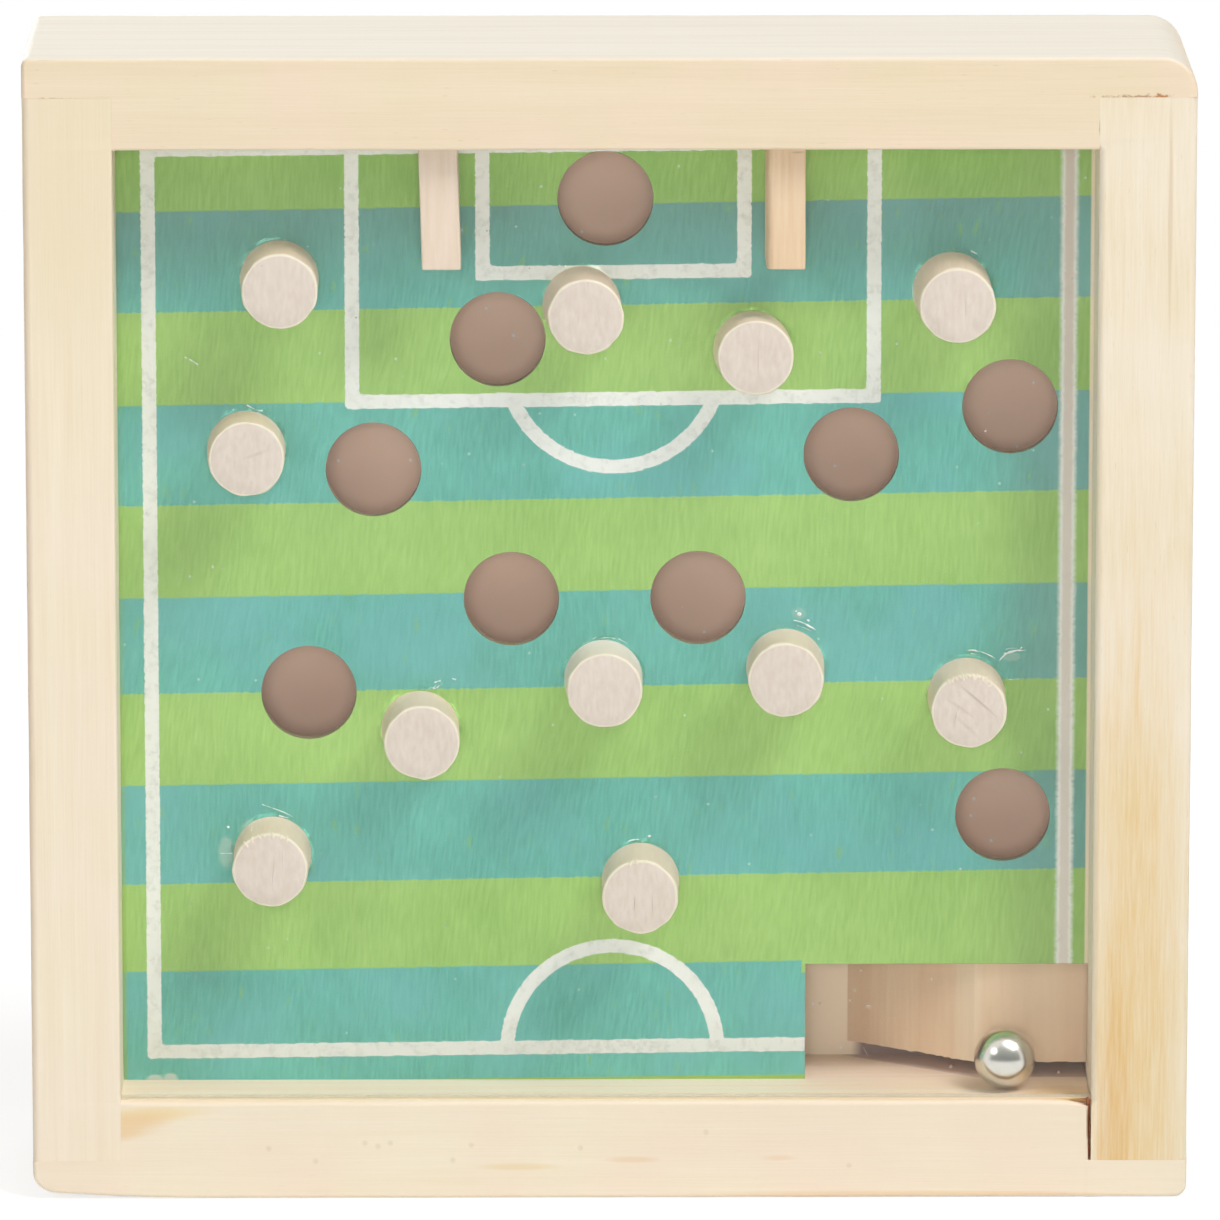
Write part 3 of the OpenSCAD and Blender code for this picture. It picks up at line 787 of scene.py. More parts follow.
def sawGrooves(bar, grooves, inner, inward, along, upright=False):
    # cuts grooves for the sheets into the bar's inner face; along is where the saw starts and stops
    for groove in grooves:
        front, back = case[groove]
        gap = case["grooveGap"][groove]
        deep = sorted((inner + inward, inner - inward * case["grooveDepth"]))
        x, z = (deep, along) if upright else (along, deep)
        carve(bar, addBlock("saw", *zip(x, (front - gap, back + gap), z)))


def modelRail(name, look):
    inner, lap, outer = look["inner"], look["lap"], look["outer"]
    leftShoulder, rightShoulder = look["shoulders"]
    inward = 1 if inner > outer else -1
    rail = addBlock(name, (case["left"], case["front"], min(lap, outer)),
                    (case["right"], case["back"], max(lap, outer)))
    # the thick part between the laps
    cutAcross(rail, 0, look["shoulders"])
    pickFaces(rail, lambda at, normal: normal.z * inward > 0.9 and leftShoulder < at.x < rightShoulder)
    bpy.ops.mesh.extrude_region_move(TRANSFORM_OT_translate={"value": (0, 0, (inner - lap) * mm)})
    bpy.ops.object.mode_set(mode="OBJECT")
    sawGrooves(rail, look["grooves"], inner, inward, railLook["saw"])
    for side, radius in zip((case["left"], case["right"]), look["corners"]):
        roundEdges(rail, lambda a, b: bothAt(a, b, x=side, z=outer) and abs(a.y - b.y) > 1, radius, 8)

    def onShoulder(a, b):
        return any(bothAt(a, b, x=shoulder) for shoulder in look["shoulders"])

    def outline(a, b):
        # the outer outline of the front and of the back
        return onFrontOrBack(a, b) and not (bothAt(a, b, z=inner) or bothAt(a, b, z=lap) or onShoulder(a, b))

    def seam(a, b):
        # edges round the faces that meet the stiles, but not the inside corner
        if bothAt(a, b, z=lap):
            return not onShoulder(a, b)
        return onShoulder(a, b) and onFrontOrBack(a, b)

    roundEdges(rail, outline, railLook["edge"], 5)
    roundEdges(rail, lambda a, b: bothAt(a, b, y=case["front"], z=inner), look["innerEdge"], 3)
    roundEdges(rail, seam, railLook["seam"], 1)
    cutAcross(rail, 0, railLook["cuts"])
    if "openShoulder" in look:
        # the right shoulder stands off at the front only, where the seam gapes
        was, now, start, end = look["openShoulder"]
        cutAcross(rail, 1, (start, end))
        for vertex in rail.data.vertices:
            at = vertex.co / mm
            if near(at.x, was, 0.08) and at.y > end - 0.02 and at.z > lap - 0.1:
                vertex.co.x += (now - was) * mm
    if "dip" in look:
        # the lip in front of the cover was sanded down towards the joint
        start, fall, step = look["dip"]
        lipBack = case["cover"][0] - 0.15
        cutAcross(rail, 0, [start + i * step for i in range(1, 8)])
        for vertex in rail.data.vertices:
            at = vertex.co / mm
            if start < at.x < rightShoulder + 0.01 and at.y < lipBack and at.z > inner - 0.6:
                vertex.co.z -= ((at.x - start) / (rightShoulder - start)) ** 2.5 * fall * mm
    if "runOut" in look:
        # the lower left edge was sanded away a little over the first centimetres
        reach, rise = look["runOut"]
        for vertex in rail.data.vertices:
            at = vertex.co / mm
            share = max(0, 1 - (at.x - case["left"]) / reach) ** 2 * max(0, 1 - at.z / lap)
            vertex.co.z += share * rise * mm
    # the faces that touch the cover and the stiles stay as they are
    kept = (*look["shoulders"], *look.get("openShoulder", ())[1:2])
    weather(rail, *railLook["wear"],
            lambda at: besideCover(at) or near(at.z, lap, 0.2) or any(near(at.x, side, 0.2) for side in kept))
    smooth(rail)
    finishPiece(rail, "case", "pine", [pine[name]], look["node"])


def modelStile(name, look):
    outer, inner = look["outer"], look["inner"]
    inward = 1 if inner > outer else -1
    stile = addBlock(name, (min(outer, inner), case["front"], case["bottomLap"]),
                     (max(outer, inner), case["back"], case["topLap"]))
    sawGrooves(stile, ("cover", "board", "panel"), inner, inward, stileLook["saw"], upright=True)
    roundEdges(stile, lambda a, b: bothAt(a, b, x=outer) and abs(a.z - b.z) > 1, stileLook["edge"], 5)
    # the inner front edge was sanded after the case was glued, so only in the window
    cutAcross(stile, 2, (case["windowFoot"], case["windowTop"]))

    def inWindow(at, spare):
        return case["windowFoot"] - spare < at.z < case["windowTop"] + spare

    def outside(at):
        return (abs(at.y) > case["back"] - 1.1, abs(at.x) > case["right"] - 1.1)

    def rim(a, b):
        # the rim of both ends, but not the grooves' edges
        if not (bothAt(a, b, z=case["bottomLap"]) or bothAt(a, b, z=case["topLap"])):
            return False
        return any(one and other for one, other in zip(outside(a), outside(b)))

    def kept(at):
        # the faces that touch the cover and the rails stay as they are
        onEnd = not case["bottomLap"] + 0.2 <= at.z <= case["topLap"] - 0.2
        return besideCover(at) or onEnd or near(at.x, inner, 0.2) and not inWindow(at, -0.5)

    roundEdges(stile, lambda a, b: bothAt(a, b, x=inner, y=case["front"]) and inWindow(a, 0.1) and inWindow(b, 0.1),
               look["innerEdge"], 4)
    roundEdges(stile, rim, stileLook["seam"], 1)
    cutAcross(stile, 2, stileLook["cuts"])
    weather(stile, *stileLook["wear"], kept)
    smooth(stile)
    finishPiece(stile, "case", look["slot"], [pine[name]], look["node"])


for name in ("topRail", "bottomRail"):
    modelRail(name, railLook[name])
for name in ("leftStile", "rightStile"):
    modelStile(name, stileLook[name])
print("case modelled")


# Printed board

def modelBoard(look):
    front, back = case["board"]
    board = addBlock("pitchBoard", (case["windowLeft"] - look["reach"], front, case["windowFoot"]),
                     (case["windowRight"] + look["reach"], back, case["windowTop"] + look["reach"]))
    notchLeft, notchTop = look["notch"]
    carve(board, addBlock("saw", (notchLeft, front - 1, case["windowFoot"] - 1),
                          (case["right"] + 5, back + 1, notchTop)))
    for x, z in look["holes"]:
        carve(board, place(bpy.ops.mesh.primitive_cylinder_add, "drill", (x, front, z), vertices=96,
                           radius=look["holeRadius"] * mm, depth=look["drill"] * mm, rotation=(math.pi / 2, 0, 0)))

    def broken(a, b):
        # round the holes and the notch, but not where the board sits in its grooves
        middle = (a + b) / 2
        inside = abs(middle.x) < case["windowRight"] - 0.5 and 0.2 < middle.z - case["windowFoot"] < 124
        return inside and bothAt(a, b, y=front) and (a - b).length < 60

    # the drill and the saw leave a slightly broken front edge
    roundEdges(board, broken, look["rim"], 2)
    for face in board.data.polygons:
        # 0 is the printed face, 1 the back and 2 what the saw and the drill cut
        face.material_index = 0 if face.normal.y < -0.4 else 1 if face.normal.y > 0.9 else 2
    smooth(board)
    finishPiece(board, "case", "printed_plywood", [pitchPrint, wood["plywood"], wood["plywoodEdge"]], "playing_board")


modelBoard(boardLook)
print("board modelled")


# Pegs and goal posts

pegLook = {
    # X and Z of each peg, and how far its tip leans
    "places": ((-42.4, 119.3, 0.25, -0.05), (-46.8, 97.2, 0.26, 0.47), (-3.3, 115.9, 0.52, 0.03),
               (18.6, 110.3, 0.25, 0.6), (44.4, 117.5, 0.43, -0.38), (-24.4, 60.0, 0.37, 0.16),
               (-0.7, 66.8, 0.12, 0.29), (22.8, 68.2, -0.11, 0.19), (46.4, 64.2, 0.0, -0.05),
               (-43.9, 43.2, -0.14, 0.0), (4.0, 39.6, -0.12, -0.07)),
    "radius": 5.08, "length": 9.2, "chamfer": 0.45, "wear": (0.4, 2.2), "unworn": 4.0, "paler": (7,),
    # rings that carry the wear: their number and step on the tip, and their steps from the foot
    "tipRings": (4, 0.9), "sideRings": [1.5 * i for i in range(1, 6)],
}


def modelPeg(look):
    foot = case["board"][0]
    tip = foot - look["length"]
    peg = place(bpy.ops.mesh.primitive_cylinder_add, "peg", (0, (foot + tip) / 2, 0), vertices=72,
                radius=look["radius"] * mm, depth=look["length"] * mm, rotation=(math.pi / 2, 0, 0))
    roundEdges(peg, lambda a, b: bothAt(a, b, y=tip), look["chamfer"], 3)
    pickFaces(peg, lambda at, normal: normal.y < -0.99)
    count, step = look["tipRings"]
    for ring in range(count):
        bpy.ops.mesh.inset(thickness=step * mm)
    cutAcross(peg, 1, [foot - ring for ring in look["sideRings"]])
    for face in peg.data.polygons:
        # 0 is the side, 1 the chamfer, painted pale as a highlight, and 2 the tip
        face.material_index = 2 if face.normal.y < -0.99 else 1 if face.normal.y < -0.1 else 0
    return peg


peg = modelPeg(pegLook)
for i, (x, z, leanX, leanZ) in enumerate(pegLook["places"], 1):
    one = peg.copy()
    one.data = peg.data.copy()
    one.name = one.data.name = f"peg{i}"
    bpy.context.scene.collection.objects.link(one)
    one.data.transform(Matrix.Translation((x * mm, 0, z * mm)) @ Matrix.Rotation(random.uniform(0, math.tau), 4, "Y"))
    for vertex in one.data.vertices:
        # glued a little askew: the tip leans while the foot stays flat on the board
        share = (case["board"][0] - vertex.co.y / mm) / pegLook["length"] - 0.5
        vertex.co.x += leanX * share * mm
        vertex.co.z += leanZ * share * mm
    # the foot and the middle of the tip stay even
    weather(one, *pegLook["wear"],
            lambda at: at.y > case["board"][0] - 0.05 or math.hypot(at.x - x, at.z - z) < pegLook["unworn"])
    smooth(one, 50)
    side = wood["palerSide" if i in pegLook["paler"] else "dowelSide"]
    finishPiece(one, "case", "dowel", [side, wood["rimHighlightAndFibres"], wood["dowelTip"]], f"peg_{i}")
bpy.data.objects.remove(peg)

postLook = {
    "goalPostLeft": {"node": "goal_post_left", "x": (-24.1, -19.0), "lean": -0.45},
    "goalPostRight": {"node": "goal_post_right", "x": (20.0, 25.1), "lean": 0.0, "planed": 0.75},
    "edge": 0.3, "depth": (-15.4, -6.2), "height": (122.0, 138.0),
    "cuts": [123.5 + i * 1.8 for i in range(8)], "wear": (0.12, 3),
}
for name in ("goalPostLeft", "goalPostRight"):
    look = postLook[name]
    front, foot = postLook["depth"][0], postLook["height"][0]
    post = addBlock(name, *zip(look["x"], postLook["depth"], postLook["height"]))
    pickFaces(post, lambda at, normal: normal.z > 0.9)
    bpy.ops.transform.translate(value=(look["lean"] * mm, 0, 0))
    bpy.ops.object.mode_set(mode="OBJECT")
    if "planed" in look:
        # a wide chamfer down the left front edge
        leftEdge = look["x"][0] + 1
        roundEdges(post, lambda a, b: a.x < leftEdge and b.x < leftEdge and bothAt(a, b, y=front), look["planed"], 1)
    roundEdges(post, lambda a, b: bothAt(a, b, z=foot) or bothAt(a, b, y=front) and abs(a.z - b.z) > 1,
               postLook["edge"], 3)
    cutAcross(post, 2, postLook["cuts"])
    weather(post, *postLook["wear"])
    smooth(post, 50)
    finishPiece(post, "case", "light_wood", [wood[name]], look["node"])
print("pegs and posts modelled")


# Glue, lint and splinters

glueLook = {
    # threads of dried glue on the board: points X, Z and the thickness
    "threads": (
        (((-45.2, 49.9), (-44.0, 49.5), (-43.1, 49.1), (-42.2, 48.8), (-41.2, 48.3)), 0.17),
        (((-43.0, 48.4), (-41.8, 48.1)), 0.14), (((-50.9, 43.4), (-49.1, 43.4)), 0.16),
        (((46.5, 70.3), (47.3, 70.4), (48.0, 70.1)), 0.3), (((48.0, 70.2), (49.0, 69.9), (50.1, 69.2)), 0.28),
        (((46.9, 69.9), (48.2, 69.6)), 0.2),
        (((50.6, 68.8), (51.1, 69.6), (51.9, 70.1), (53.0, 70.3), (54.1, 70.3)), 0.2),
        (((51.2, 69.9), (52.4, 69.7), (53.6, 70.7)), 0.13), (((51.5, 70.4), (52.6, 70.8), (53.5, 70.2)), 0.12),
        (((51.9, 66.4), (53.2, 66.5)), 0.18),
        (((23.9, 74.3), (24.6, 74.3), (25.2, 73.9)), 0.34), (((25.1, 74.0), (25.9, 73.6), (26.8, 73.0)), 0.3),
        (((24.4, 73.6), (25.4, 73.3), (26.2, 72.9)), 0.2), (((-1.0, 121.2), (-0.3, 120.8), (0.4, 120.3)), 0.24),
        (((-23.8, 64.9), (-23.2, 65.7), (-22.6, 65.3)), 0.16), (((-22.9, 65.2), (-22.5, 66.1), (-21.9, 65.6)), 0.17),
        (((-22.4, 65.4), (-21.7, 66.0)), 0.13), (((-22.7, 66.1), (-21.9, 66.4)), 0.1),
        (((-20.4, 66.6), (-19.9, 66.5)), 0.1), (((-3.4, 71.2), (-2.6, 71.6), (-1.7, 72.1)), 0.16),
        (((-1.3, 71.9), (-0.2, 72.2), (0.8, 71.9)), 0.2), (((1.2, 71.9), (2.3, 71.3)), 0.13),
        (((2.3, 44.9), (3.2, 45.2), (4.0, 45.2)), 0.24), (((46.6, 122.9), (47.4, 122.5)), 0.12),
        (((-46.8, 102.8), (-45.7, 102.1), (-44.8, 102.0)), 0.09),
        (((-54.8, 109.1), (-53.9, 108.7), (-53.1, 108.1)), 0.07)),
    "beads": ((-49.6, 46.9, 0.26), (5.2, 45.6, 0.3), (24.6, 75.1, 0.3), (24.2, 75.5, 0.16), (47.1, 69.0, 0.24),
              (-8.3, 121.3, 0.18), (-6.4, 121.1, 0.2), (-20.2, 66.6, 0.16), (-38.8, 123.6, 0.16), (-2.0, 44.7, 0.12),
              (25.8, 74.3, 0.24), (-22.0, 66.3, 0.18), (57.0, 127.3, 0.13), (57.2, 124.8, 0.14)),
    # torn fibres along part of a peg's rim: middle X and Z, radius, from and to in degrees, how many
    "tornRims": ((46.4, 64.2, 4.75, 48, 128, 16), (-43.9, 43.2, 4.8, 60, 135, 7), (4.0, 39.6, 4.8, 80, 110, 3)),
    # splinters at a peg's rim: X, Y, Z, turn in degrees and length
    "splinters": ((-46.5, -10.5, 47.4, 8, 2.0), (-21.2, -15.0, 62.6, -75, 0.9), (44.8, -15.1, 67.6, 25, 0.8),
                  (46.3, -15.1, 68.3, -12, 0.9), (47.6, -15.0, 68.2, -30, 0.8), (-43.2, -15.1, 101.0, 40, 0.7)),
    "tornDepth": -15.3, "tornWidth": (0.12, 0.22), "tornLength": (0.7, 1.3), "tornTurn": (-0.7, 0.7),
    "collar": (5.15, 0.5, 0.25),  # radius, thickness and how far it lies over the peg's middle
    "milky": ("#ffffff", "#dcefe6"), "clear": ("#fbfdf8", "#e9f3e4"),
    # unevenness: its depth and its size
    "beadWear": (0.2, 0.5), "collarWear": (0.5, 1.6), "dustWear": (0.03, 0.25),
    # sawdust: X, Y and Z of each crumb, its length, width and turn
    "crumbs": ((34.3, 5.05, 19.9, 0.34, 0.17, 4), (32.4, 6.3, 21.8, 0.16, 0.12, 30),
               (31.8, 6.8, 20.3, 0.15, 0.12, -20), (27.9, 7.05, 19.9, 0.18, 0.14, 50),
               (33.2, 5.8, 24.6, 0.12, 0.09, 0), (42.3, -0.7, 25.0, 0.11, 0.09, 0),
               (44.9, -0.4, 13.1, 0.22, 0.14, 60), (58.9, -3.4, 13.1, 0.15, 0.12, 70),
               (37.6, 2.9, 14.9, 0.2, 0.08, -15), (40.9, 0.5, 15.0, 0.22, 0.08, -25),
               (43.2, -1.2, 14.9, 0.2, 0.09, 10), (45.4, -2.8, 14.9, 0.16, 0.08, -30),
               (62.3, -17.93, 141.6, 0.14, 0.08, 80), (62.4, -17.93, 139.9, 0.12, 0.08, 60),
               (62.4, -17.93, 142.9, 0.13, 0.08, 90), (70.9, -17.93, 145.6, 0.12, 0.08, 0),
               (68.7, -17.93, 146.1, 0.1, 0.07, 20)),
    "curl": ((33.6, 14.2), (33.9, 13.6), (34.1, 13.25), (34.5, 13.1)), "curlDepth": 6.0,
}


def layThread(points, thickness, depth):
    # a thread that tapers to both ends, lying on the board
    clearSelection()
    bpy.ops.curve.primitive_nurbs_path_add(location=(0, 0, 0))
    thread = bpy.context.object
    line = thread.data.splines
    line.clear()
    line = line.new("NURBS")
    line.points.add(len(points) - 1)
    for i, (point, (x, z)) in enumerate(zip(line.points, points)):
        point.co = (x * mm, depth * mm, z * mm, 1)
        point.radius = 0.35 if i in (0, len(points) - 1) else random.uniform(0.8, 1.2)
    line.use_endpoint_u = True
    line.order_u = min(4, len(points))
    thread.data.bevel_depth = thickness * mm
    thread.data.bevel_resolution = 2
    thread.data.use_fill_caps = True
    bpy.ops.object.convert(target="MESH")
    return settle(bpy.context.object, "thread")


def finishHeap(parts, name, wear, slot, material):
    # small pieces become one, uneven all over
    heap = joinAll(parts, name)
    weather(heap, *wear)
    smooth(heap, 60)
    finishPiece(heap, "case", slot, [material])


def modelGlue(look):
    face = case["board"][0]
    parts = [layThread(points, thickness, face - thickness * 0.4) for points, thickness in look["threads"]]
    for x, z, radius in look["beads"]:
        parts.append(place(bpy.ops.mesh.primitive_ico_sphere_add, "bead", (x, face - radius * 0.3, z), subdivisions=2,
                           radius=radius * mm, scale=(random.uniform(0.8, 1.3), 0.7, random.uniform(0.8, 1.2))))
    finishHeap(parts, "driedGlue", look["beadWear"], "clear_plastic", makeGlue(look))

    collars = []
    for x, z, leanX, leanZ in pegLook["places"]:
        # glue squeezed out round the peg's foot, wider on one side
        radius, thick, lift = look["collar"]
        collar = place(bpy.ops.mesh.primitive_torus_add, "collar", (x - leanX / 2, face, z - leanZ / 2 + lift),
                       major_segments=64, minor_segments=10, major_radius=radius * mm, minor_radius=thick * mm,
                       rotation=(math.pi / 2, 0, 0))
        bpy.ops.object.mode_set(mode="EDIT")
        bpy.ops.mesh.select_all(action="SELECT")
        bpy.ops.transform.resize(value=(1, 0.55, 1), center_override=(x * mm, face * mm, z * mm))
        bpy.ops.object.mode_set(mode="OBJECT")
        collars.append(collar)
    finishHeap(collars, "glueCollars", look["collarWear"], "clear_plastic", makeClearGlue(look))

    splinters = []
    for *at, turn, length in look["splinters"]:
        splinters.append(place(bpy.ops.mesh.primitive_cone_add, "splinter", at, vertices=6, radius1=0.16 * mm,
                               radius2=0.02 * mm, depth=length * mm, rotation=(0, math.radians(turn), 0)))
    for x, z, radius, first, last, count in look["tornRims"]:
        for i in range(count):
            angle = math.radians(first + (last - first) * (i + random.uniform(0.2, 0.8)) / count)
            at = (x + math.cos(angle) * radius, look["tornDepth"], z + math.sin(angle) * radius)
            splinters.append(place(bpy.ops.mesh.primitive_cone_add, "splinter", at, vertices=5,
                                   radius1=random.uniform(*look["tornWidth"]) * mm, radius2=0.02 * mm,
                                   depth=random.uniform(*look["tornLength"]) * mm,
                                   rotation=(0, math.radians(90) - angle + random.uniform(*look["tornTurn"]), 0)))
    splinters = joinAll(splinters, "pegSplinters")
    smooth(splinters, 40)
    finishPiece(splinters, "case", "dowel", [wood["rimHighlightAndFibres"]])

    dust = []
    for *at, length, width, turn in look["crumbs"]:
        dust.append(place(bpy.ops.mesh.primitive_ico_sphere_add, "crumb", at, subdivisions=2, radius=mm,
                          rotation=(0, math.radians(-turn), 0), scale=(length * 1.4, width, width * 1.4)))
    dust.append(layThread(look["curl"], 0.07, look["curlDepth"]))
    top = look["curl"][0][1]
    for vertex in dust[-1].data.vertices:
        # the curl leans forward off the panel down to the rail
        vertex.co.y -= (top - vertex.co.z / mm) * 0.9 * mm
    finishHeap(dust, "sawdust", look["dustWear"], "pine", wood["rimHighlightAndFibres"])


def makeGlue(look):
    # dried wood glue in threads and beads: milky and glossy
    material, add, shader, point = startMaterial("dried wood glue")
    milk = add("TexNoise", {"Vector": point, "Scale": 2.0, "Detail": 2.0})
    colour = add("Mix", {0: milk, 6: fromHex(look["milky"][0]), 7: fromHex(look["milky"][1])}, **inColour)
    rough = add("MapRange", {"Value": milk, "To Min": 0.08, "To Max": 0.25})
    setInputs(shader, {"Base Color": colour, "Roughness": rough, "IOR": 1.46})
    return material


def makeClearGlue(look):
    # glue that dried clear round the pegs' feet: it only shows by its gloss and a darker edge
    material, add, shader, point = startMaterial("clear wood glue")
    ripple = add("TexNoise", {"Vector": point, "Scale": 1.2, "Detail": 2.0})
    rough = add("MapRange", {"Value": ripple, "To Min": 0.03, "To Max": 0.12})
    colour = add("Mix", {0: ripple, 6: fromHex(look["clear"][0]), 7: fromHex(look["clear"][1])}, **inColour)
    setInputs(shader, {"Base Color": colour, "Roughness": rough, "Transmission Weight": 1.0, "IOR": 1.3})
    return material


modelGlue(glueLook)

resinLook = {
    # amber resin in the lower right joint: middle, half sizes
    "drops": (((60.9, -17.1, 12.95), (1.3, 0.34, 0.13)), ((61.7, -17.15, 12.85), (0.7, 0.45, 0.26)),
              ((62.1, -17.3, 12.7), (0.4, 0.5, 0.7)), ((62.25, -17.35, 11.5), (0.22, 0.4, 1.4)),
              ((62.3, -17.4, 8.9), (0.24, 0.38, 2.4)), ((62.28, -17.4, 6.4), (0.25, 0.36, 1.7))),
    "amber": "#c69a52", "brown": "#935229", "wear": (0.15, 0.7),
}


def modelResin(look):
    drops = []
    for middle, size in look["drops"]:
        drops.append(place(bpy.ops.mesh.primitive_ico_sphere_add, "drop", middle, subdivisions=4, radius=1,
                           scale=[v * mm for v in size]))
    finishHeap(drops, "resinSeam", look["wear"], "pine", makeResin(look))


def makeResin(look):
    # hardened pine resin: clear amber where it is thin, red-brown in the gap, glossy
    material, add, shader, point = startMaterial("hardened pine resin")
    split = add("SeparateXYZ", {0: point}).node.outputs
    deep = add("MapRange", {"Value": split["X"], "From Min": 61.2, "From Max": 62.1})
    cloudy = add("TexNoise", {"Vector": point, "Scale": 1.8, "Detail": 2.0})
    deep = addUp(add, (cloudy, 0.5), start=deep)
    colour = add("Mix", {0: deep, 6: fromHex(look["amber"]), 7: fromHex(look["brown"])}, **inColour)
    rough = add("MapRange", {"Value": cloudy, "To Min": 0.2, "To Max": 0.4})
    setInputs(shader, {"Base Color": colour, "Roughness": rough, "IOR": 1.54})
    return material


modelResin(resinLook)
print("glue modelled")


# Return block

blockLook = {
    # X and Y of the slanting side's back and front, and heights of the foot and of the top's two ends
    "back": (31.5, 7.1), "front": (47.9, -4.7), "right": 62.5, "foot": 14.8, "low": 30.0, "high": 37.5,
    # what the saw tore off or left at the foot, most of it over the stretch in the middle
    "cuts": [0.45 * i for i in range(1, 68)], "torn": (-0.16, 0.3), "mostTorn": (38, 46), "shares": (0.55, 0.35),
    "light": "#fbe0be", "dark": "#ebc6a1", "pink": "#e2c6a8", "pinkOver": (49.0, 56.0),
    # the pale colour down the front corner is a painted highlight
    "cornerHighlight": "#f6e3c4", "cornerHighlightShift": 0.7, "edge": 0.25,
}


def modelBlock(look):
    backX, backY = look["back"]
    frontX, frontY = look["front"]
    block = addBlock("returnBlock", (backX, frontY, look["foot"]), (look["right"], backY, look["high"]))
    # the slanting side, then the slanting top
    slant = Vector((frontY - backY, backX - frontX, 0)).normalized()
    rise = Vector((look["low"] - look["high"], 0, look["right"] - backX)).normalized()
    makeActive(block)
    bpy.ops.object.mode_set(mode="EDIT")
    for at, outward in (((backX * mm, backY * mm, 0), slant), ((backX * mm, 0, look["low"] * mm), rise)):
        bpy.ops.mesh.select_all(action="SELECT")
        bpy.ops.mesh.bisect(plane_co=at, plane_no=outward, use_fill=True, clear_outer=True)
    bpy.ops.object.mode_set(mode="OBJECT")
    # a coarse saw left the lower front edge ragged
    first, last = look["mostTorn"]
    cutAcross(block, 0, [backX + cut for cut in look["cuts"]])
    for vertex in block.data.vertices:
        at = vertex.co / mm
        if near(at.z, look["foot"]) and at.y < backY - 0.5:
            vertex.co.z += random.uniform(*look["torn"]) * mm * look["shares"][0 if first < at.x < last else 1]
    roundEdges(block, lambda a, b: abs(a.z - b.z) > 5 and near(a.x, frontX, 0.1) and near(a.y, frontY, 0.1),
               look["edge"], 3)
    smooth(block, 30)
    finishPiece(block, "case", "light_wood", [makeBlockWood(look)], "return_block")


modelBlock(blockLook)
print("block modelled")


# CAD nodes that keep their shape

dressed = {"back_panel": makeHardboard(panelLook), "clear_cover": makeClearSheet(coverLook),
           "ball": makeSteel(ballLook)}
for node, material in dressed.items():
    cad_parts[node].data.materials.clear()
    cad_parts[node].data.materials.append(material)


# Floor, lamps, camera

stageLook = {
    "floorSize": 6.0, "paper": "#f4f4f2", "white": 1.0, "lift": 0.74, "shaded": 0.42, "fade": (160, 620),
    "world": 0.08,
    "lamps": {
        "frontLamp": {"place": (-0.03, -1.42, 0.33), "size": 0.4, "power": 5.3, "mirrored": False},
        "keyLamp": {"place": (1.02, -0.8, 1.68), "size": 0.75, "power": 20.0},
        "overLamp": {"place": (0.3, -0.5, 1.3), "size": 0.7, "power": 3.0},
        "topLamp": {"place": (0.0, 0.35, 1.1), "size": 0.6, "power": 2.4},
        "leftLamp": {"place": (-1.0, -0.85, 0.9), "size": 0.5, "power": 2.9},
        "rearLamp": {"place": (-0.7, 1.7, 0.4), "size": 0.8, "power": 13.0},
    },
    "card": {"y": -2.4, "size": (8.0, 4.0), "z": 2.03, "low": "#747a78", "high": "#babdb9"},
}


def makeFloor(look):
    # matte white paper: it takes the case's soft shadow and runs out into plain white
    floor = place(bpy.ops.mesh.primitive_plane_add, "paperFloor", (0, 0, -0.05), size=look["floorSize"])
    material, add, shader, point = startMaterial("white paper")
    material.node_tree.nodes.remove(shader)
    paper = add("BsdfDiffuse", {"Color": fromHex(look["paper"])})
    # to the camera the paper is white unless the case shades it, and further out it is plain white
    far = add("VectorMath", {0: point}, out="Value", operation="LENGTH")
    far = add("MapRange", {"Value": far, "From Min": look["fade"][0], "From Max": look["fade"][1]})
    lift = add("MapRange", {"Value": far, "To Min": look["lift"], "To Max": look["white"]})
    glow = add("Emission", {"Color": (1, 1, 1, 1), "Strength": lift})
    dim = add("MapRange", {"Value": far, "To Min": 1 - look["shaded"], "To Max": 1.0})
    plain = add("MixShader", {0: dim, 1: paper, 2: add("BsdfDiffuse", {"Color": (0, 0, 0, 1)})})
    shown = add("AddShader", {0: plain, 1: glow})
    top = add("MixShader", {0: seenPlain(add), 1: paper, 2: shown})
    under = add("NewGeometry", out="Backfacing")
    clear = add("BsdfTransparent")
    both = add("MixShader", {0: under, 1: top, 2: clear})
    setInputs(material.node_tree.nodes["Material Output"], {"Surface": both})
    floor.data.materials.append(material)


def makeWorld(look):
    world = bpy.data.worlds.new("studio")
    bpy.context.scene.world = world
    world.use_nodes = True
    add = partial(addNode, world.node_tree)
    strength = add("MapRange", {"Value": seenPlain(add), "To Min": look["world"], "To Max": 1.0})
    setInputs(world.node_tree.nodes["Background"], {"Strength": strength, "Color": (1, 1, 1, 1)})


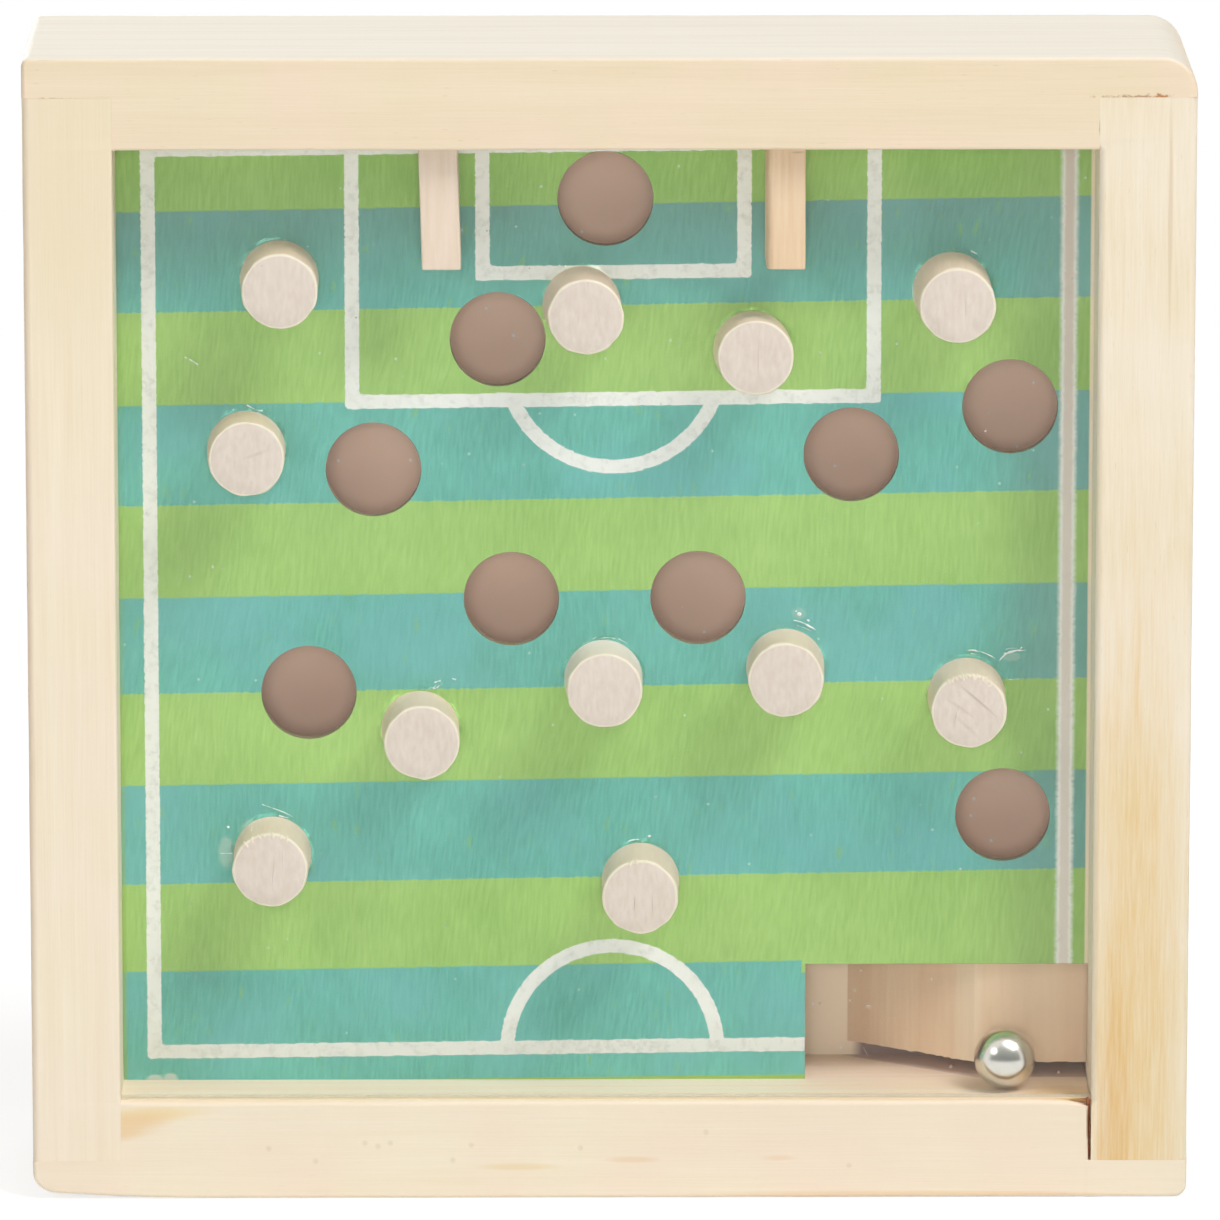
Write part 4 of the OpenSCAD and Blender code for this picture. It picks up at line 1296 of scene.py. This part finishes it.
def addLamp(name, look, target=(0, 0, 0.075)):
    lamp = bpy.data.lights.new(name, "AREA")
    lamp.shape = "DISK"
    lamp.energy = look["power"]
    lamp.size = look["size"]
    holder = bpy.data.objects.new(name, lamp)
    holder.location = look["place"]
    holder.rotation_euler = (Vector(target) - Vector(look["place"])).to_track_quat("-Z", "Y").to_euler()
    holder.visible_glossy = look.get("mirrored", True)
    bpy.context.scene.collection.objects.link(holder)


def addCard(look):
    # a grey card behind the camera that only reflections see: it keeps the steel from looking like chalk
    clearSelection()
    bpy.ops.mesh.primitive_plane_add(size=1, location=(0, look["y"], look["z"]), rotation=(math.pi / 2, 0, 0))
    card = bpy.context.object
    card.scale = (*look["size"], 1)
    settle(card, "greyCard")
    material, add, shader, point = startMaterial("grey card")
    material.node_tree.nodes.remove(shader)
    height = add("SeparateXYZ", {0: point}, out="Z")
    height = add("MapRange", {"Value": height, "From Min": 0.0, "From Max": 2600.0})
    grey = add("Mix", {0: height, 6: fromHex(look["low"]), 7: fromHex(look["high"])}, **inColour)
    glow = add("Emission", {"Color": grey, "Strength": 1.0})
    setInputs(material.node_tree.nodes["Material Output"], {"Surface": glow})
    card.data.materials.append(material)
    card.visible_camera = card.visible_diffuse = card.visible_transmission = card.visible_shadow = False


def addCamera(look):
    data = bpy.data.cameras.new("camera")
    data.lens = look["lens"]
    data.sensor_width = 36
    data.clip_start, data.clip_end = look["clip"]
    camera = bpy.data.objects.new("camera", data)
    camera.location = look["place"]
    pitch, yaw = (math.radians(a) for a in look["turn"])
    ahead = Vector((math.sin(yaw) * math.cos(pitch), math.cos(yaw) * math.cos(pitch), -math.sin(pitch)))
    camera.rotation_euler = ahead.to_track_quat("-Z", "Y").to_euler()
    bpy.context.scene.collection.objects.link(camera)
    bpy.context.scene.camera = camera


cameraLook = {"place": (-0.0096, -1.4193, 0.3715), "turn": (11.823, 0.393), "lens": 328.5, "clip": (0.1, 30)}

makeFloor(stageLook)
makeWorld(stageLook)
for name, look in stageLook["lamps"].items():
    addLamp(name, look)
addCard(stageLook["card"])
addCamera(cameraLook)
bpy.context.scene.view_settings.view_transform = "Standard"
print("stage set")
